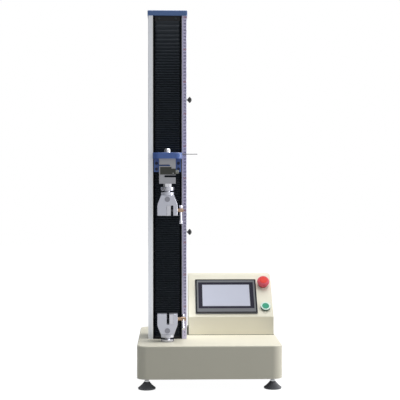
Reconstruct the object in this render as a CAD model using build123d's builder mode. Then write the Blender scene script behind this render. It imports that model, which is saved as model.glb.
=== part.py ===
"""Single-column benchtop universal testing machine, in millimetres.

The origin is the centre of the base's footprint on the floor, +Z is up, +X is to the right of the
operator and -Y is the operator's side. Every piece is written as its own STEP file.
"""

import os
from math import atan2, cos, degrees, radians, sin, tan

from build123d import *

os.makedirs("parts", exist_ok=True)

# Fits and cuts shared by all pieces
running_clearance = 0.05
sliding_clearance = 0.3
wide_clearance = 1.0
overrun = 1.0

# Base: a folded sheet cover over a welded frame on four feet
base_depth = 410.0
base_height = 100.0
base_corner_radius = 30.0
base_bend_radius = 4.0
base_sheet = 2.0
foot_height = 36.0
bottom_plate_thickness = 3.0
bottom_plate_gap = 0.5
frame_plate_thickness = 10.0
frame_plate_margin = 6.0
post_side = 30.0

# Levelling feet
foot_inset_left = 29.0
foot_inset_right = 26.5
foot_inset_front = 43.0
foot_pad_diameter = 53.0
foot_rim_height = 4.5
foot_rim_edge = 1.1
foot_pad_height = 22.0
foot_neck_diameter = 17.0
foot_flank_sag = 0.8
foot_stud_diameter = 10.0
foot_stud_length = 70.0
foot_hexagon_size = 13.0
foot_hexagon_height = 4.0
lock_nut_size = 17.0
lock_nut_height = 6.0

# Column profile
column_offset_left = 91.0
column_setback = 137.0
column_width = 120.0
column_depth = 112.0
column_rise = 1006.0
column_wall = 6.0
column_flange_width = 15.0
column_lip = 8.0
column_edge_radius = 1.0
column_groove_width = 1.2
column_groove_depth = 0.8
slot_setback = 28.0
slot_mouth = 8.4
slot_mouth_depth = 3.5
slot_cavity = 17.0
slot_cavity_depth = 6.5
slot_wall = 3.0
screw_port_side = 12.0
screw_port_diameter = 5.0

# Column cap and scale tape
cap_thickness = 16.0
cap_overhang = 1.8
cap_edge_chamfer = 1.5
tape_side_gap = 0.75
tape_thickness = 0.4
tape_end_gap = 0.5

# Guide rods, ball screw and bearing blocks
guide_rod_diameter = 16.0
bushing_wall = 3.0
guide_rod_setback = 56.0
guide_rod_end_gap = 2.0
guide_rod_end_chamfer = 1.0
screw_diameter = 20.0
screw_setback = 82.0
screw_lower_journal_diameter = 15.0
screw_upper_journal_diameter = 12.0
screw_pulley_shaft_diameter = 12.0
block_side_gap = 3.0
block_setback = 36.0
block_front_depth = 40.0
block_rear_width = 52.0
block_rear_depth = 28.0
lower_block_height = 30.0
upper_block_height = 25.0
lower_bearing_diameter = 32.0
lower_bearing_thickness = 9.0
upper_bearing_diameter = 28.0
upper_bearing_thickness = 8.0
bearing_recess = 0.6
bearing_ring = 3.0

# Carriage and ball nut
crosshead_plate_height = 695.5
carriage_height = 70.0
bushing_diameter = 28.0
bushing_groove_width = 1.3
bushing_groove_depth = 0.6
bushing_groove_inset = 11.7
nut_body_diameter = 36.0
nut_flange_diameter = 50.0
nut_flange_thickness = 10.0
nut_length = 52.0

# Crosshead arm
load_axis_reach = 50.0
arm_thickness = 18.0
arm_width = 90.0
arm_reach = 80.0
arm_corner_radius = 18.0
arm_edge_chamfer = 1.0
arm_face_gap = 2.0
back_plate_side_gap = 3.0
back_plate_height = 57.5
back_plate_thickness = 20.0
back_plate_fillet = 5.0
arm_screw_spacing_x = 68.0
arm_screw_spacing_z = 18.0
arm_screw_drop = 39.5
arm_screw_diameter = 6.0
arm_screw_head_diameter = 10.0
arm_screw_head_height = 6.0
arm_screw_grip = 12.0
arm_screw_socket = 5.0
arm_screw_socket_depth = 3.5
pointer_diameter = 2.4
pointer_overhang = 33.0
pointer_drop = 2.2
pointer_setback = 4.0
pointer_seat = 8.0
pointer_collar_diameter = 4.4
pointer_collar_length = 4.0

# Load cell, its cover, cable gland and fasteners
cell_width = 50.8
cell_height = 76.2
cell_thickness = 22.0
cell_edge_chamfer = 0.8
cell_upper_slot_height = 4.6
cell_lower_slot_height = 6.4
cell_upper_slot_drop = 20.3
cell_lower_slot_rise = 22.4
cell_slot_past_axis = 6.2
cell_window_width = 30.0
cell_window_height = 12.0
cell_window_radius = 4.0
cell_cover_width = 47.4
cell_cover_height = 23.0
cell_cover_thickness = 2.0
cell_cover_drop = 37.0
cell_cover_notch_width = 13.0
cell_cover_notch_height = 5.0
gland_diameter = 13.0
gland_length = 9.0
gland_dome_length = 4.0
gland_dome_step = 1.0
gland_bore = 5.0
gland_drop = 40.0
cell_bolt_diameter = 12.0
cell_bolt_head_diameter = 19.0
cell_bolt_head_height = 13.0
cell_bolt_socket = 10.0
cell_bolt_socket_depth = 6.0
cell_bolt_engagement = 14.0
jam_nut_size = 21.7
jam_nut_height = 10.0

# Vice grips, measured from the jaw end along the load axis
grip_width = 61.5
grip_thickness = 34.0
grip_length = 62.3
grip_shoulder = 34.0
grip_shoulder_radius = 26.0
grip_top_width = 39.5
grip_boss_diameter = 39.0
grip_boss_length = 9.0
grip_edge_chamfer = 1.0
grip_bore_diameter = 20.0
grip_bore_floor = 36.0
jaw_slot_depth = 31.0
fixed_jaw_face = -2.0
moving_jaw_thickness = 12.0
jaw_travel = 7.5
jaw_gap_closed = 0.3
jaw_slot_end_gap = 0.3
jaw_side_gap = 0.5
jaw_tooth_pitch = 2.5
jaw_tooth_depth = 0.8
jaw_rib_width = 8.0
jaw_rib_height = 2.5
pin_height = 50.0
pin_diameter = 10.0
pin_head_diameter = 16.0
pin_head_thickness = 2.0
jaw_screw_height = 16.0
jaw_screw_diameter = 10.0
jaw_screw_journal_diameter = 7.0
jaw_screw_journal_depth = 5.0
hub_diameter = 13.0
hub_length = 12.0
hub_standoff = 4.5
hub_collar_diameter = 9.0
hub_collar_length = 2.0
bar_diameter = 6.6
bar_knob_diameter = 10.0
bar_knob_length = 9.0
bar_length = 57.2
bar_knob_gap = 0.3
lower_bar_tilt = 50.0

# Grip adapters and lock rings
spigot_diameter = 16.0
spigot_past_pin = 11.0
adapter_thread_diameter = 18.0
adapter_thread_start_gap = 2.5
ring_diameter = 41.0
ring_chamfer = 1.0
upper_ring_gap = 5.0
upper_ring_height = 11.0
lower_ring_gap = 5.2
lower_ring_height = 7.2
ring_notch_width = 5.0
ring_notch_depth = 2.0
ring_notch_count = 6
lower_adapter_flange_diameter = 36.0
lower_grip_rise = 85.0
lower_adapter_stud_diameter = 16.0
lower_adapter_nut_size = 24.0
lower_adapter_nut_height = 10.0
lower_adapter_stud_end = 4.0
upper_grip_hang = 97.6
cell_stud_engagement = 15.0

# Drive under the frame plate
belt_pulley_height = 14.0
belt_width = 10.0
belt_thickness = 2.4
belt_gap = 0.3
screw_pulley_diameter = 57.3
motor_pulley_diameter = 28.65
pulley_flange_rim = 2.4
pulley_flange_thickness = 1.5
pulley_gap_below_plate = 6.0
drive_centre_distance = 95.0
motor_side = 57.0
motor_length = 52.0
motor_corner_chamfer = 5.0
motor_endcap_length = 9.0
motor_waist_depth = 0.5
motor_boss_diameter = 38.1
motor_boss_height = 1.6
motor_shaft_diameter = 6.35
motor_shelf_thickness = 5.0
motor_shelf_web = 5.0
motor_shelf_side_gap = 3.0

# Limit stops on the column's right side
upper_stop_height = 883.0
lower_stop_height = 468.0
stop_block_length = 30.0
stop_stud_diameter = 5.0
knob_diameter = 19.0
knob_standoff = 4.0
knob_length = 11.5
knob_rim_length = 2.0
knob_hub_diameter = 9.0
knob_dome_diameter = 7.0
knob_lobe_count = 6
knob_lobe_cut_diameter = 5.0

# Control box
box_offset_right = 5.0
column_box_gap = 7.0
box_setback = 212.0
box_front_height = 58.0
box_slope_run = 116.0
box_slope_rise = 125.0
box_rear_margin = 20.0
box_sheet = 1.5
box_fold_radius = 3.0
box_seam_radius = 1.5
box_opening_cut = 9.0
corner_block_depth = 8.0
rear_panel_thickness = 1.5
vent_width = 40.0
vent_height = 4.0
vent_pitch = 9.0
vent_count = 6
vent_columns = 2
vent_column_pitch = 60.0
vent_centre_x = 90.0
vent_centre_rise = 110.0

# Touch panel
hmi_width = 200.0
hmi_height = 136.5
hmi_margin_left = 23.0
button_strip_width = 50.0
hmi_centre_u = 79.5
hmi_bezel_thickness = 5.0
hmi_corner_radius = 3.0
hmi_edge_chamfer = 1.2
hmi_window_width = 180.0
hmi_window_height = 105.0
hmi_window_rise = 2.8
hmi_window_depth = 1.4
hmi_case_width = 188.0
hmi_case_height = 124.0
hmi_case_depth = 33.0
hmi_case_gap = 1.0
screen_thickness = 1.0

# Emergency stop and start button
stop_inset_right = 26.0
stop_centre_u = 131.0
panel_hole_diameter = 22.3
stop_collar_diameter = 32.0
stop_collar_height = 4.0
stop_collar_chamfer = 1.0
stop_body_diameter = 22.0
stop_body_depth = 40.0
stop_stem_diameter = 14.0
stop_stem_depth = 20.0
stop_head_diameter = 40.0
stop_head_height = 13.0
stop_head_rise = 9.5
stop_head_edge = 5.0
stop_head_lower_edge = 1.0
stop_head_bore_diameter = 10.0
stop_head_bore_depth = 6.0
stop_press_travel = 5.0
start_inset_right = 24.0
start_centre_u = 37.0
start_bezel_diameter = 31.0
start_bezel_height = 8.0
start_bezel_chamfer = 1.0
start_button_diameter = 22.0
start_button_rise = 0.3
start_stem_diameter = 12.0
start_stem_depth = 20.0
start_press_travel = 3.0
start_button_height = 4.0
start_button_edge = 1.0
start_body_diameter = 22.0
start_body_depth = 30.0

# Power inlet with its rocker key, on the rear panel
inlet_inset_right = 48.0
inlet_centre_rise = 60.0
inlet_flange_width = 34.0
inlet_flange_height = 62.0
inlet_flange_thickness = 2.5
inlet_body_width = 27.0
inlet_body_height = 47.0
inlet_body_depth = 28.0
inlet_socket_width = 24.0
inlet_socket_height = 16.0
inlet_socket_depth = 16.0
inlet_socket_drop = 12.5
inlet_blade_width = 4.0
inlet_blade_thickness = 2.0
inlet_blade_length = 13.0
inlet_blade_spacing = 7.0
inlet_blade_offset = 2.0
inlet_corner_radius = 2.0
key_width = 19.0
key_height = 13.0
key_thickness = 6.0
key_rise = 14.0
key_tilt = 8.0
key_gap = 0.7
key_pivot_depth = 1.5
key_well_depth = 7.0
key_dish = 0.8
key_axle_diameter = 3.0
key_axle_reach = 1.5

# Fasteners of the frame
screw_head_chamfer_share = 0.125
cap_screw_diameter = 4.5
cap_screw_head_diameter = 9.0
cap_countersink_angle = 82.0
cap_screw_length = 28.0
cap_screw_socket = 3.0
cap_screw_socket_depth = 1.8
small_socket_depth = 1.3
clamp_screw_diameter = 4.0
clamp_screw_head_diameter = 7.0
clamp_screw_head_height = 2.4
clamp_screw_length = 12.0
clamp_screw_spacing = 52.0
panel_screw_diameter = 3.0
panel_screw_head_diameter = 6.0
panel_screw_head_height = 2.0
panel_screw_length = 6.0
panel_screw_inset = 9.0
bottom_screw_diameter = 5.0
bottom_screw_head_diameter = 9.0
bottom_screw_head_height = 3.0
bottom_screw_length = 14.0
bottom_screw_offset = 20.0

# Bellows
bellows_side_gap = 3.0
bellows_depth = 16.0
bellows_recess = 2.0
bellows_sheet = 1.2
upper_bellows_bottom_pitch = 8.0
upper_bellows_top_pitch = 14.0
lower_bellows_bottom_pitch = 9.0
lower_bellows_top_pitch = 9.0
upper_clamp_height = 16.0
lower_clamp_height = 8.0
clamp_recess = 4.0

# Places worked out from the dimensions above
box_width = hmi_margin_left + hmi_width + button_strip_width
base_width = (
    column_offset_left + column_width / 2 + column_box_gap + box_width + box_offset_right
)
base_bottom_z = foot_height
base_top_z = base_bottom_z + base_height
frame_plate_top_z = base_top_z - base_sheet
frame_plate_bottom_z = frame_plate_top_z - frame_plate_thickness
bottom_plate_top_z = base_bottom_z + bottom_plate_thickness
base_inner_width = base_width - 2 * base_sheet
base_inner_depth = base_depth - 2 * base_sheet
base_inner_radius = base_corner_radius - base_sheet
foot_left_x = -base_width / 2 + foot_inset_left
foot_right_x = base_width / 2 - foot_inset_right
foot_front_y = -base_depth / 2 + foot_inset_front
foot_places = {
    "front_left": (foot_left_x, foot_front_y),
    "front_right": (foot_right_x, foot_front_y),
    "rear_left": (foot_left_x, -foot_front_y),
    "rear_right": (foot_right_x, -foot_front_y),
}
bottom_screw_places = [
    (x - bottom_screw_offset * x / abs(x), y) for x, y in foot_places.values()
]
column_x = -base_width / 2 + column_offset_left
column_front_y = -base_depth / 2 + column_setback
column_centre_y = column_front_y + column_depth / 2
column_right_x = column_x + column_width / 2
column_top_z = base_top_z + column_rise
column_inner_front_y = column_front_y + column_lip
column_inner_back_y = column_front_y + column_depth - column_wall
column_inner_width = column_width - 2 * column_wall
column_opening = column_width - 2 * column_flange_width
tape_width = column_flange_width - 2 * tape_side_gap
back_plate_width = column_opening - 2 * back_plate_side_gap
bellows_width = column_inner_width - 2 * screw_port_side - 2 * bellows_side_gap
slot_y = column_front_y + slot_setback
slot_block_depth = slot_mouth_depth + slot_cavity_depth + slot_wall
block_width = column_width - 2 * slot_block_depth - 2 * block_side_gap
guide_rod_spacing = block_width - bushing_diameter - 2 * bushing_wall
load_axis_y = column_front_y - load_axis_reach
guide_rod_y = column_front_y + guide_rod_setback
screw_y = column_front_y + screw_setback
block_front_y = column_front_y + block_setback
block_split_y = block_front_y + block_front_depth
arm_bottom_z = crosshead_plate_height
arm_top_z = arm_bottom_z + arm_thickness
arm_front_y = column_front_y - arm_reach
back_plate_bottom_z = arm_top_z - back_plate_height
back_plate_back_y = column_inner_front_y + arm_face_gap
back_plate_front_y = back_plate_back_y - back_plate_thickness
carriage_bottom_z = back_plate_bottom_z + back_plate_height / 2 - carriage_height / 2
bellows_front_y = column_front_y + bellows_recess
lower_block_top_z = frame_plate_top_z + lower_block_height
upper_block_bottom_z = column_top_z - upper_block_height
lower_bearing_z = frame_plate_top_z + lower_block_height / 2
upper_bearing_z = upper_block_bottom_z + upper_block_height / 2
upper_jaw_end_z = arm_bottom_z - cell_height - upper_grip_hang
lower_jaw_end_z = base_top_z + lower_grip_rise
box_left_x = base_width / 2 - box_offset_right - box_width
box_centre_x = box_left_x + box_width / 2
box_front_y = -base_depth / 2 + box_setback
box_depth = base_depth - box_setback - box_rear_margin
box_back_y = box_front_y + box_depth
hmi_centre_x = hmi_margin_left + hmi_width / 2
stop_centre_x = box_width - stop_inset_right
start_centre_x = box_width - start_inset_right
inlet_centre_x = box_width - inlet_inset_right
box_top_z = base_top_z + box_front_height + box_slope_rise
panel_tilt = degrees(atan2(box_slope_rise, box_slope_run))
panel_normal = (0, -sin(radians(panel_tilt)), cos(radians(panel_tilt)))
panel_plane = Plane(
    origin=(box_left_x, box_front_y, base_top_z + box_front_height),
    x_dir=(1, 0, 0),
    z_dir=panel_normal,
)
rear_plane = Plane(origin=(0, box_back_y, base_top_z), x_dir=(-1, 0, 0), z_dir=(0, 1, 0))
motor_x = column_x + drive_centre_distance
pulley_top_z = frame_plate_bottom_z - pulley_gap_below_plate
pulley_bottom_z = pulley_top_z - belt_pulley_height
motor_shelf_top_z = pulley_bottom_z - pulley_gap_below_plate
motor_shelf_bottom_z = motor_shelf_top_z - motor_shelf_thickness


def export_piece(part, name):
    """Label one finished piece and write it as its own STEP file."""
    part.label = name
    export_step(part, f"parts/{name}.step")


def block_plan():
    """Return the plan of the pieces that fill the column: wide in front, narrower behind."""
    with BuildSketch(mode=Mode.PRIVATE) as plan:
        with Locations((column_x, block_front_y + block_front_depth / 2)):
            Rectangle(block_width, block_front_depth)
        with Locations((column_x, block_split_y + block_rear_depth / 2)):
            Rectangle(block_rear_width, block_rear_depth)
    return plan.sketch


def guide_rod_places():
    """Return the two guide rod axes in plan."""
    half_spacing = guide_rod_spacing / 2
    return [(column_x - half_spacing, guide_rod_y), (column_x + half_spacing, guide_rod_y)]


def screw_port_places():
    """Return the four screw port centres of the column in plan."""
    side = column_inner_width / 2 - screw_port_side / 2
    front = column_inner_front_y + screw_port_side / 2
    back = column_inner_back_y - screw_port_side / 2
    return [(column_x + sx * side, y) for sx in (-1, 1) for y in (front, back)]


# Base cover: rounded sheet shell, open below
with BuildPart() as base_cover:
    with BuildSketch(Plane.XY.offset(base_bottom_z)):
        RectangleRounded(base_width, base_depth, base_corner_radius)
    extrude(amount=base_height)
    fillet(base_cover.faces().sort_by(Axis.Z)[-1].edges(), base_bend_radius)
    offset(amount=-base_sheet, openings=base_cover.faces().sort_by(Axis.Z)[0])
    with BuildSketch(Plane.XY.offset(base_top_z + overrun)):
        with Locations((column_x, column_centre_y)):
            Rectangle(column_width + 2 * sliding_clearance, column_depth + 2 * sliding_clearance)
        with Locations((column_x, load_axis_y)):
            Circle(lower_adapter_flange_diameter / 2 + sliding_clearance)
    extrude(amount=-base_sheet - 2 * overrun, mode=Mode.SUBTRACT)
export_piece(base_cover.part, "base_cover")

# Bottom plate that closes the base, with holes for the four studs
with BuildPart() as base_bottom_plate:
    with BuildSketch(Plane.XY.offset(base_bottom_z)):
        RectangleRounded(
            base_inner_width - 2 * bottom_plate_gap,
            base_inner_depth - 2 * bottom_plate_gap,
            base_inner_radius - bottom_plate_gap,
        )
        with Locations(*foot_places.values()):
            Circle(foot_stud_diameter / 2 + wide_clearance, mode=Mode.SUBTRACT)
        with Locations(*bottom_screw_places):
            Circle(bottom_screw_diameter / 2 + sliding_clearance, mode=Mode.SUBTRACT)
    extrude(amount=bottom_plate_thickness)
export_piece(base_bottom_plate.part, "base_bottom_plate")

# Welded base frame: plate, four bored posts, and the motor's shelf on two webs
with BuildPart() as base_frame:
    with BuildSketch(Plane.XY.offset(frame_plate_bottom_z)):
        RectangleRounded(
            base_inner_width - 2 * frame_plate_margin,
            base_inner_depth - 2 * frame_plate_margin,
            base_inner_radius - frame_plate_margin,
        )
    extrude(amount=frame_plate_thickness)
    with BuildSketch(Plane.XY.offset(bottom_plate_top_z)):
        with Locations(*foot_places.values()):
            Rectangle(post_side, post_side)
    extrude(until=Until.NEXT)
    with BuildSketch(Plane.XY.offset(bottom_plate_top_z)):
        with Locations(*foot_places.values()):
            Circle(foot_stud_diameter / 2 + running_clearance)
    extrude(amount=foot_stud_length, mode=Mode.SUBTRACT)
    with BuildSketch(Plane.XY.offset(bottom_plate_top_z)):
        with Locations(*bottom_screw_places):
            Circle(bottom_screw_head_diameter)
            Circle(bottom_screw_diameter / 2 + running_clearance, mode=Mode.SUBTRACT)
    extrude(amount=bottom_screw_length)
    with BuildSketch(Plane.XY.offset(motor_shelf_bottom_z)):
        with Locations((motor_x, screw_y)):
            Rectangle(
                motor_side + 2 * motor_shelf_side_gap,
                motor_side + 2 * motor_shelf_side_gap + 2 * motor_shelf_web,
            )
            Circle(motor_boss_diameter / 2 + running_clearance, mode=Mode.SUBTRACT)
    extrude(amount=motor_shelf_thickness)
    with BuildSketch(Plane.XY.offset(motor_shelf_top_z)):
        web_reach = motor_side / 2 + motor_shelf_side_gap + motor_shelf_web / 2
        with Locations((motor_x, screw_y - web_reach), (motor_x, screw_y + web_reach)):
            Rectangle(motor_side + 2 * motor_shelf_side_gap, motor_shelf_web)
    extrude(until=Until.NEXT)
    with BuildSketch(Plane.XY.offset(frame_plate_top_z)):
        with Locations((column_x, screw_y)):
            Circle(screw_lower_journal_diameter / 2 + wide_clearance)
        with Locations((column_x, load_axis_y)):
            Circle(lower_adapter_stud_diameter / 2 + running_clearance)
    extrude(amount=-frame_plate_thickness, mode=Mode.SUBTRACT)
export_piece(base_frame.part, "base_frame")

# Levelling feet: a moulded pad on its own threaded stud, with a hexagon to turn it by
with BuildPart() as foot:
    with BuildSketch(Plane.XZ):
        with BuildLine():
            rim = Polyline(
                (0, 0),
                (foot_pad_diameter / 2, 0),
                (foot_pad_diameter / 2, foot_rim_height),
            )
            flank = ThreePointArc(
                rim @ 1,
                (
                    (foot_pad_diameter + foot_neck_diameter) / 4 - foot_flank_sag,
                    (foot_rim_height + foot_pad_height) / 2 - foot_flank_sag,
                ),
                (foot_neck_diameter / 2, foot_pad_height),
            )
            Polyline(flank @ 1, (0, foot_pad_height), (0, 0))
        make_face()
    revolve(axis=Axis.Z)
    fillet(foot.edges().filter_by(GeomType.CIRCLE).group_by(Axis.Z)[0], foot_rim_edge)
    with BuildSketch(Plane.XY.offset(foot_pad_height)):
        RegularPolygon(foot_hexagon_size / 2, 6, major_radius=False)
    extrude(amount=foot_hexagon_height)
    with BuildSketch(Plane.XY.offset(foot_pad_height)):
        Circle(foot_stud_diameter / 2)
    extrude(amount=foot_stud_length)
for foot_name, (foot_x, foot_y) in foot_places.items():
    export_piece(foot.part.moved(Location((foot_x, foot_y, 0))), f"foot_{foot_name}")

# Column profile: open channel with a slot in each side and four screw ports
with BuildPart() as column_profile:
    with BuildSketch(Plane.XY.offset(frame_plate_top_z)):
        with Locations((column_x, column_centre_y)):
            RectangleRounded(column_width, column_depth, column_edge_radius)
        with Locations((column_x, (column_inner_front_y + column_inner_back_y) / 2)):
            Rectangle(
                column_inner_width,
                column_inner_back_y - column_inner_front_y,
                mode=Mode.SUBTRACT,
            )
        with Locations((column_x, column_front_y + column_lip / 2)):
            Rectangle(column_opening, column_lip + 2 * overrun, mode=Mode.SUBTRACT)
        with Locations(*screw_port_places()):
            Rectangle(screw_port_side, screw_port_side)
            Circle(screw_port_diameter / 2, mode=Mode.SUBTRACT)
        for side in (-1, 1):
            side_x = column_x + side * column_width / 2
            with Locations((side_x - side * slot_block_depth / 2, slot_y)):
                Rectangle(slot_block_depth, slot_cavity + 2 * slot_wall)
            with Locations((side_x, slot_y)):
                Rectangle(2 * slot_mouth_depth + overrun, slot_mouth, mode=Mode.SUBTRACT)
            with Locations((side_x - side * (slot_mouth_depth + slot_cavity_depth / 2), slot_y)):
                Rectangle(slot_cavity_depth, slot_cavity, mode=Mode.SUBTRACT)
            groove_x = side_x - side * column_flange_width / 2
            if side < 0:
                with Locations((groove_x, column_front_y)):
                    Rectangle(column_groove_width, 2 * column_groove_depth, mode=Mode.SUBTRACT)
    extrude(amount=column_top_z - frame_plate_top_z)
export_piece(column_profile.part, "column_profile")

# Blue cap on the column, with countersinks over the screw ports
with BuildPart() as column_cap:
    with BuildSketch(Plane.XY.offset(column_top_z)):
        with Locations((column_x, column_centre_y)):
            RectangleRounded(
                column_width + 2 * cap_overhang,
                column_depth + 2 * cap_overhang,
                column_edge_radius + cap_overhang,
            )
    extrude(amount=cap_thickness)
    chamfer(column_cap.faces().sort_by(Axis.Z)[-1].edges(), cap_edge_chamfer)
    with Locations(Plane.XY.offset(column_top_z + cap_thickness)):
        with Locations(*screw_port_places()):
            CounterSinkHole(
                cap_screw_diameter / 2 + running_clearance,
                cap_screw_head_diameter / 2 + running_clearance,
                counter_sink_angle=cap_countersink_angle,
            )
export_piece(column_cap.part, "column_cap")

# Scale tape on the right flange
with BuildPart() as scale_tape:
    with BuildSketch(Plane.XZ.offset(-column_front_y)):
        with Locations(
            (column_right_x - column_flange_width / 2, (base_top_z + column_top_z) / 2)
        ):
            Rectangle(tape_width, column_rise - 2 * tape_end_gap)
    extrude(amount=tape_thickness)
export_piece(scale_tape.part, "scale_tape")

# Two guide rods
with BuildPart() as guide_rods:
    with BuildSketch(Plane.XY.offset(frame_plate_top_z + guide_rod_end_gap)):
        with Locations(*guide_rod_places()):
            Circle(guide_rod_diameter / 2)
    extrude(amount=column_top_z - frame_plate_top_z - 2 * guide_rod_end_gap)
    chamfer(guide_rods.edges().filter_by(GeomType.CIRCLE), guide_rod_end_chamfer)
export_piece(guide_rods.part, "guide_rods")

# Lower bearing block on the frame plate, with the lip that holds the lower bellows
with BuildPart() as lower_bearing_block:
    with BuildSketch(Plane.XY.offset(frame_plate_top_z)):
        add(block_plan())
    extrude(amount=lower_block_height)
    with BuildSketch(Plane.XY.offset(frame_plate_top_z)):
        with Locations((column_x, (bellows_front_y + clamp_recess + block_front_y) / 2)):
            Rectangle(bellows_width, block_front_y - bellows_front_y - clamp_recess)
    extrude(amount=base_sheet + lower_clamp_height)
    with BuildSketch(Plane.XY.offset(frame_plate_top_z)):
        with Locations(*guide_rod_places()):
            Circle(guide_rod_diameter / 2 + running_clearance)
        with Locations((column_x, screw_y)):
            Circle(screw_lower_journal_diameter / 2 + wide_clearance)
    extrude(amount=lower_block_height, mode=Mode.SUBTRACT)
    with BuildSketch(Plane.XY.offset(lower_bearing_z - lower_bearing_thickness / 2)):
        with Locations((column_x, screw_y)):
            Circle(lower_bearing_diameter / 2 + running_clearance)
    extrude(amount=lower_block_height, mode=Mode.SUBTRACT)
export_piece(lower_bearing_block.part, "lower_bearing_block")

# Upper bearing block under the cap, with the clamp lip of the upper bellows
with BuildPart() as upper_bearing_block:
    with BuildSketch(Plane.XY.offset(upper_block_bottom_z)):
        add(block_plan())
    extrude(amount=upper_block_height)
    with BuildSketch(Plane.XY.offset(column_top_z - upper_clamp_height)):
        with Locations((column_x, (bellows_front_y + clamp_recess + block_front_y) / 2)):
            Rectangle(bellows_width, block_front_y - bellows_front_y - clamp_recess)
    extrude(amount=upper_clamp_height)
    with BuildSketch(Plane.XY.offset(upper_block_bottom_z)):
        with Locations(*guide_rod_places()):
            Circle(guide_rod_diameter / 2 + running_clearance)
        with Locations((column_x, screw_y)):
            Circle(screw_upper_journal_diameter / 2 + wide_clearance)
    extrude(amount=upper_block_height, mode=Mode.SUBTRACT)
    with BuildSketch(Plane.XY.offset(upper_bearing_z + upper_bearing_thickness / 2)):
        with Locations((column_x, screw_y)):
            Circle(upper_bearing_diameter / 2 + running_clearance)
    extrude(amount=-upper_block_height, mode=Mode.SUBTRACT)
    with Locations(Plane.XZ.offset(-bellows_front_y - clamp_recess)):
        with Locations(
            (column_x - clamp_screw_spacing / 2, column_top_z - upper_clamp_height / 2),
            (column_x + clamp_screw_spacing / 2, column_top_z - upper_clamp_height / 2),
        ):
            Hole(clamp_screw_diameter / 2 + running_clearance, clamp_screw_length + wide_clearance)
export_piece(upper_bearing_block.part, "upper_bearing_block")

# The two ball bearings of the screw: rings with a recessed shield on each face
with BuildPart() as screw_bearings:
    for outer, inner, thickness, centre_z in (
        (lower_bearing_diameter, screw_lower_journal_diameter, lower_bearing_thickness, lower_bearing_z),
        (upper_bearing_diameter, screw_upper_journal_diameter, upper_bearing_thickness, upper_bearing_z),
    ):
        with BuildSketch(Plane.XY.offset(centre_z - thickness / 2)):
            with Locations((column_x, screw_y)):
                Circle(outer / 2)
                Circle(inner / 2 + running_clearance, mode=Mode.SUBTRACT)
        extrude(amount=thickness)
        for face_z, inward in ((centre_z - thickness / 2, 1), (centre_z + thickness / 2, -1)):
            with BuildSketch(Plane.XY.offset(face_z)):
                with Locations((column_x, screw_y)):
                    Circle(outer / 2 - bearing_ring)
                    Circle(inner / 2 + bearing_ring, mode=Mode.SUBTRACT)
            extrude(amount=inward * bearing_recess, mode=Mode.SUBTRACT)
export_piece(screw_bearings.part, "screw_bearings")

# Ball screw: threaded length between two journals, and the shaft end that carries its pulley
screw_thread_bottom_z = lower_block_top_z + wide_clearance
screw_thread_top_z = upper_block_bottom_z - wide_clearance
with BuildPart() as ball_screw:
    for radius, bottom_z, top_z in (
        (screw_diameter / 2, screw_thread_bottom_z, screw_thread_top_z),
        (screw_lower_journal_diameter / 2, frame_plate_bottom_z, screw_thread_bottom_z),
        (screw_upper_journal_diameter / 2, screw_thread_top_z, column_top_z - guide_rod_end_gap),
        (screw_pulley_shaft_diameter / 2, pulley_bottom_z, frame_plate_bottom_z),
    ):
        with BuildSketch(Plane.XY.offset(bottom_z)):
            with Locations((column_x, screw_y)):
                Circle(radius)
        extrude(amount=top_z - bottom_z)
export_piece(ball_screw.part, "ball_screw")


def pulley(centre_x, pitch_diameter, bore_radius):
    """Return a flanged belt pulley about a vertical axis behind the column's front."""
    with BuildPart(mode=Mode.PRIVATE) as wheel:
        with BuildSketch(Plane.XY.offset(pulley_bottom_z)):
            with Locations((centre_x, screw_y)):
                Circle(pitch_diameter / 2 + pulley_flange_rim)
        extrude(amount=belt_pulley_height)
        with BuildSketch(Plane.XY.offset(pulley_bottom_z + pulley_flange_thickness)):
            with Locations((centre_x, screw_y)):
                Circle(pitch_diameter)
                Circle(pitch_diameter / 2, mode=Mode.SUBTRACT)
        extrude(amount=belt_pulley_height - 2 * pulley_flange_thickness, mode=Mode.SUBTRACT)
        if bore_radius:
            with BuildSketch(Plane.XY.offset(pulley_bottom_z)):
                with Locations((centre_x, screw_y)):
                    Circle(bore_radius)
            extrude(amount=belt_pulley_height, mode=Mode.SUBTRACT)
    return wheel.part


export_piece(
    pulley(column_x, screw_pulley_diameter, screw_pulley_shaft_diameter / 2), "screw_pulley"
)

# Motor rotor: pulley in one with the shaft that enters the motor
with BuildPart() as motor_rotor:
    add(pulley(motor_x, motor_pulley_diameter, 0))
    with BuildSketch(Plane.XY.offset(motor_shelf_bottom_z - motor_length / 2)):
        with Locations((motor_x, screw_y)):
            Circle(motor_shaft_diameter / 2)
    extrude(amount=motor_length / 2 + motor_shelf_thickness + pulley_gap_below_plate + overrun)
export_piece(motor_rotor.part, "motor_rotor")

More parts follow.
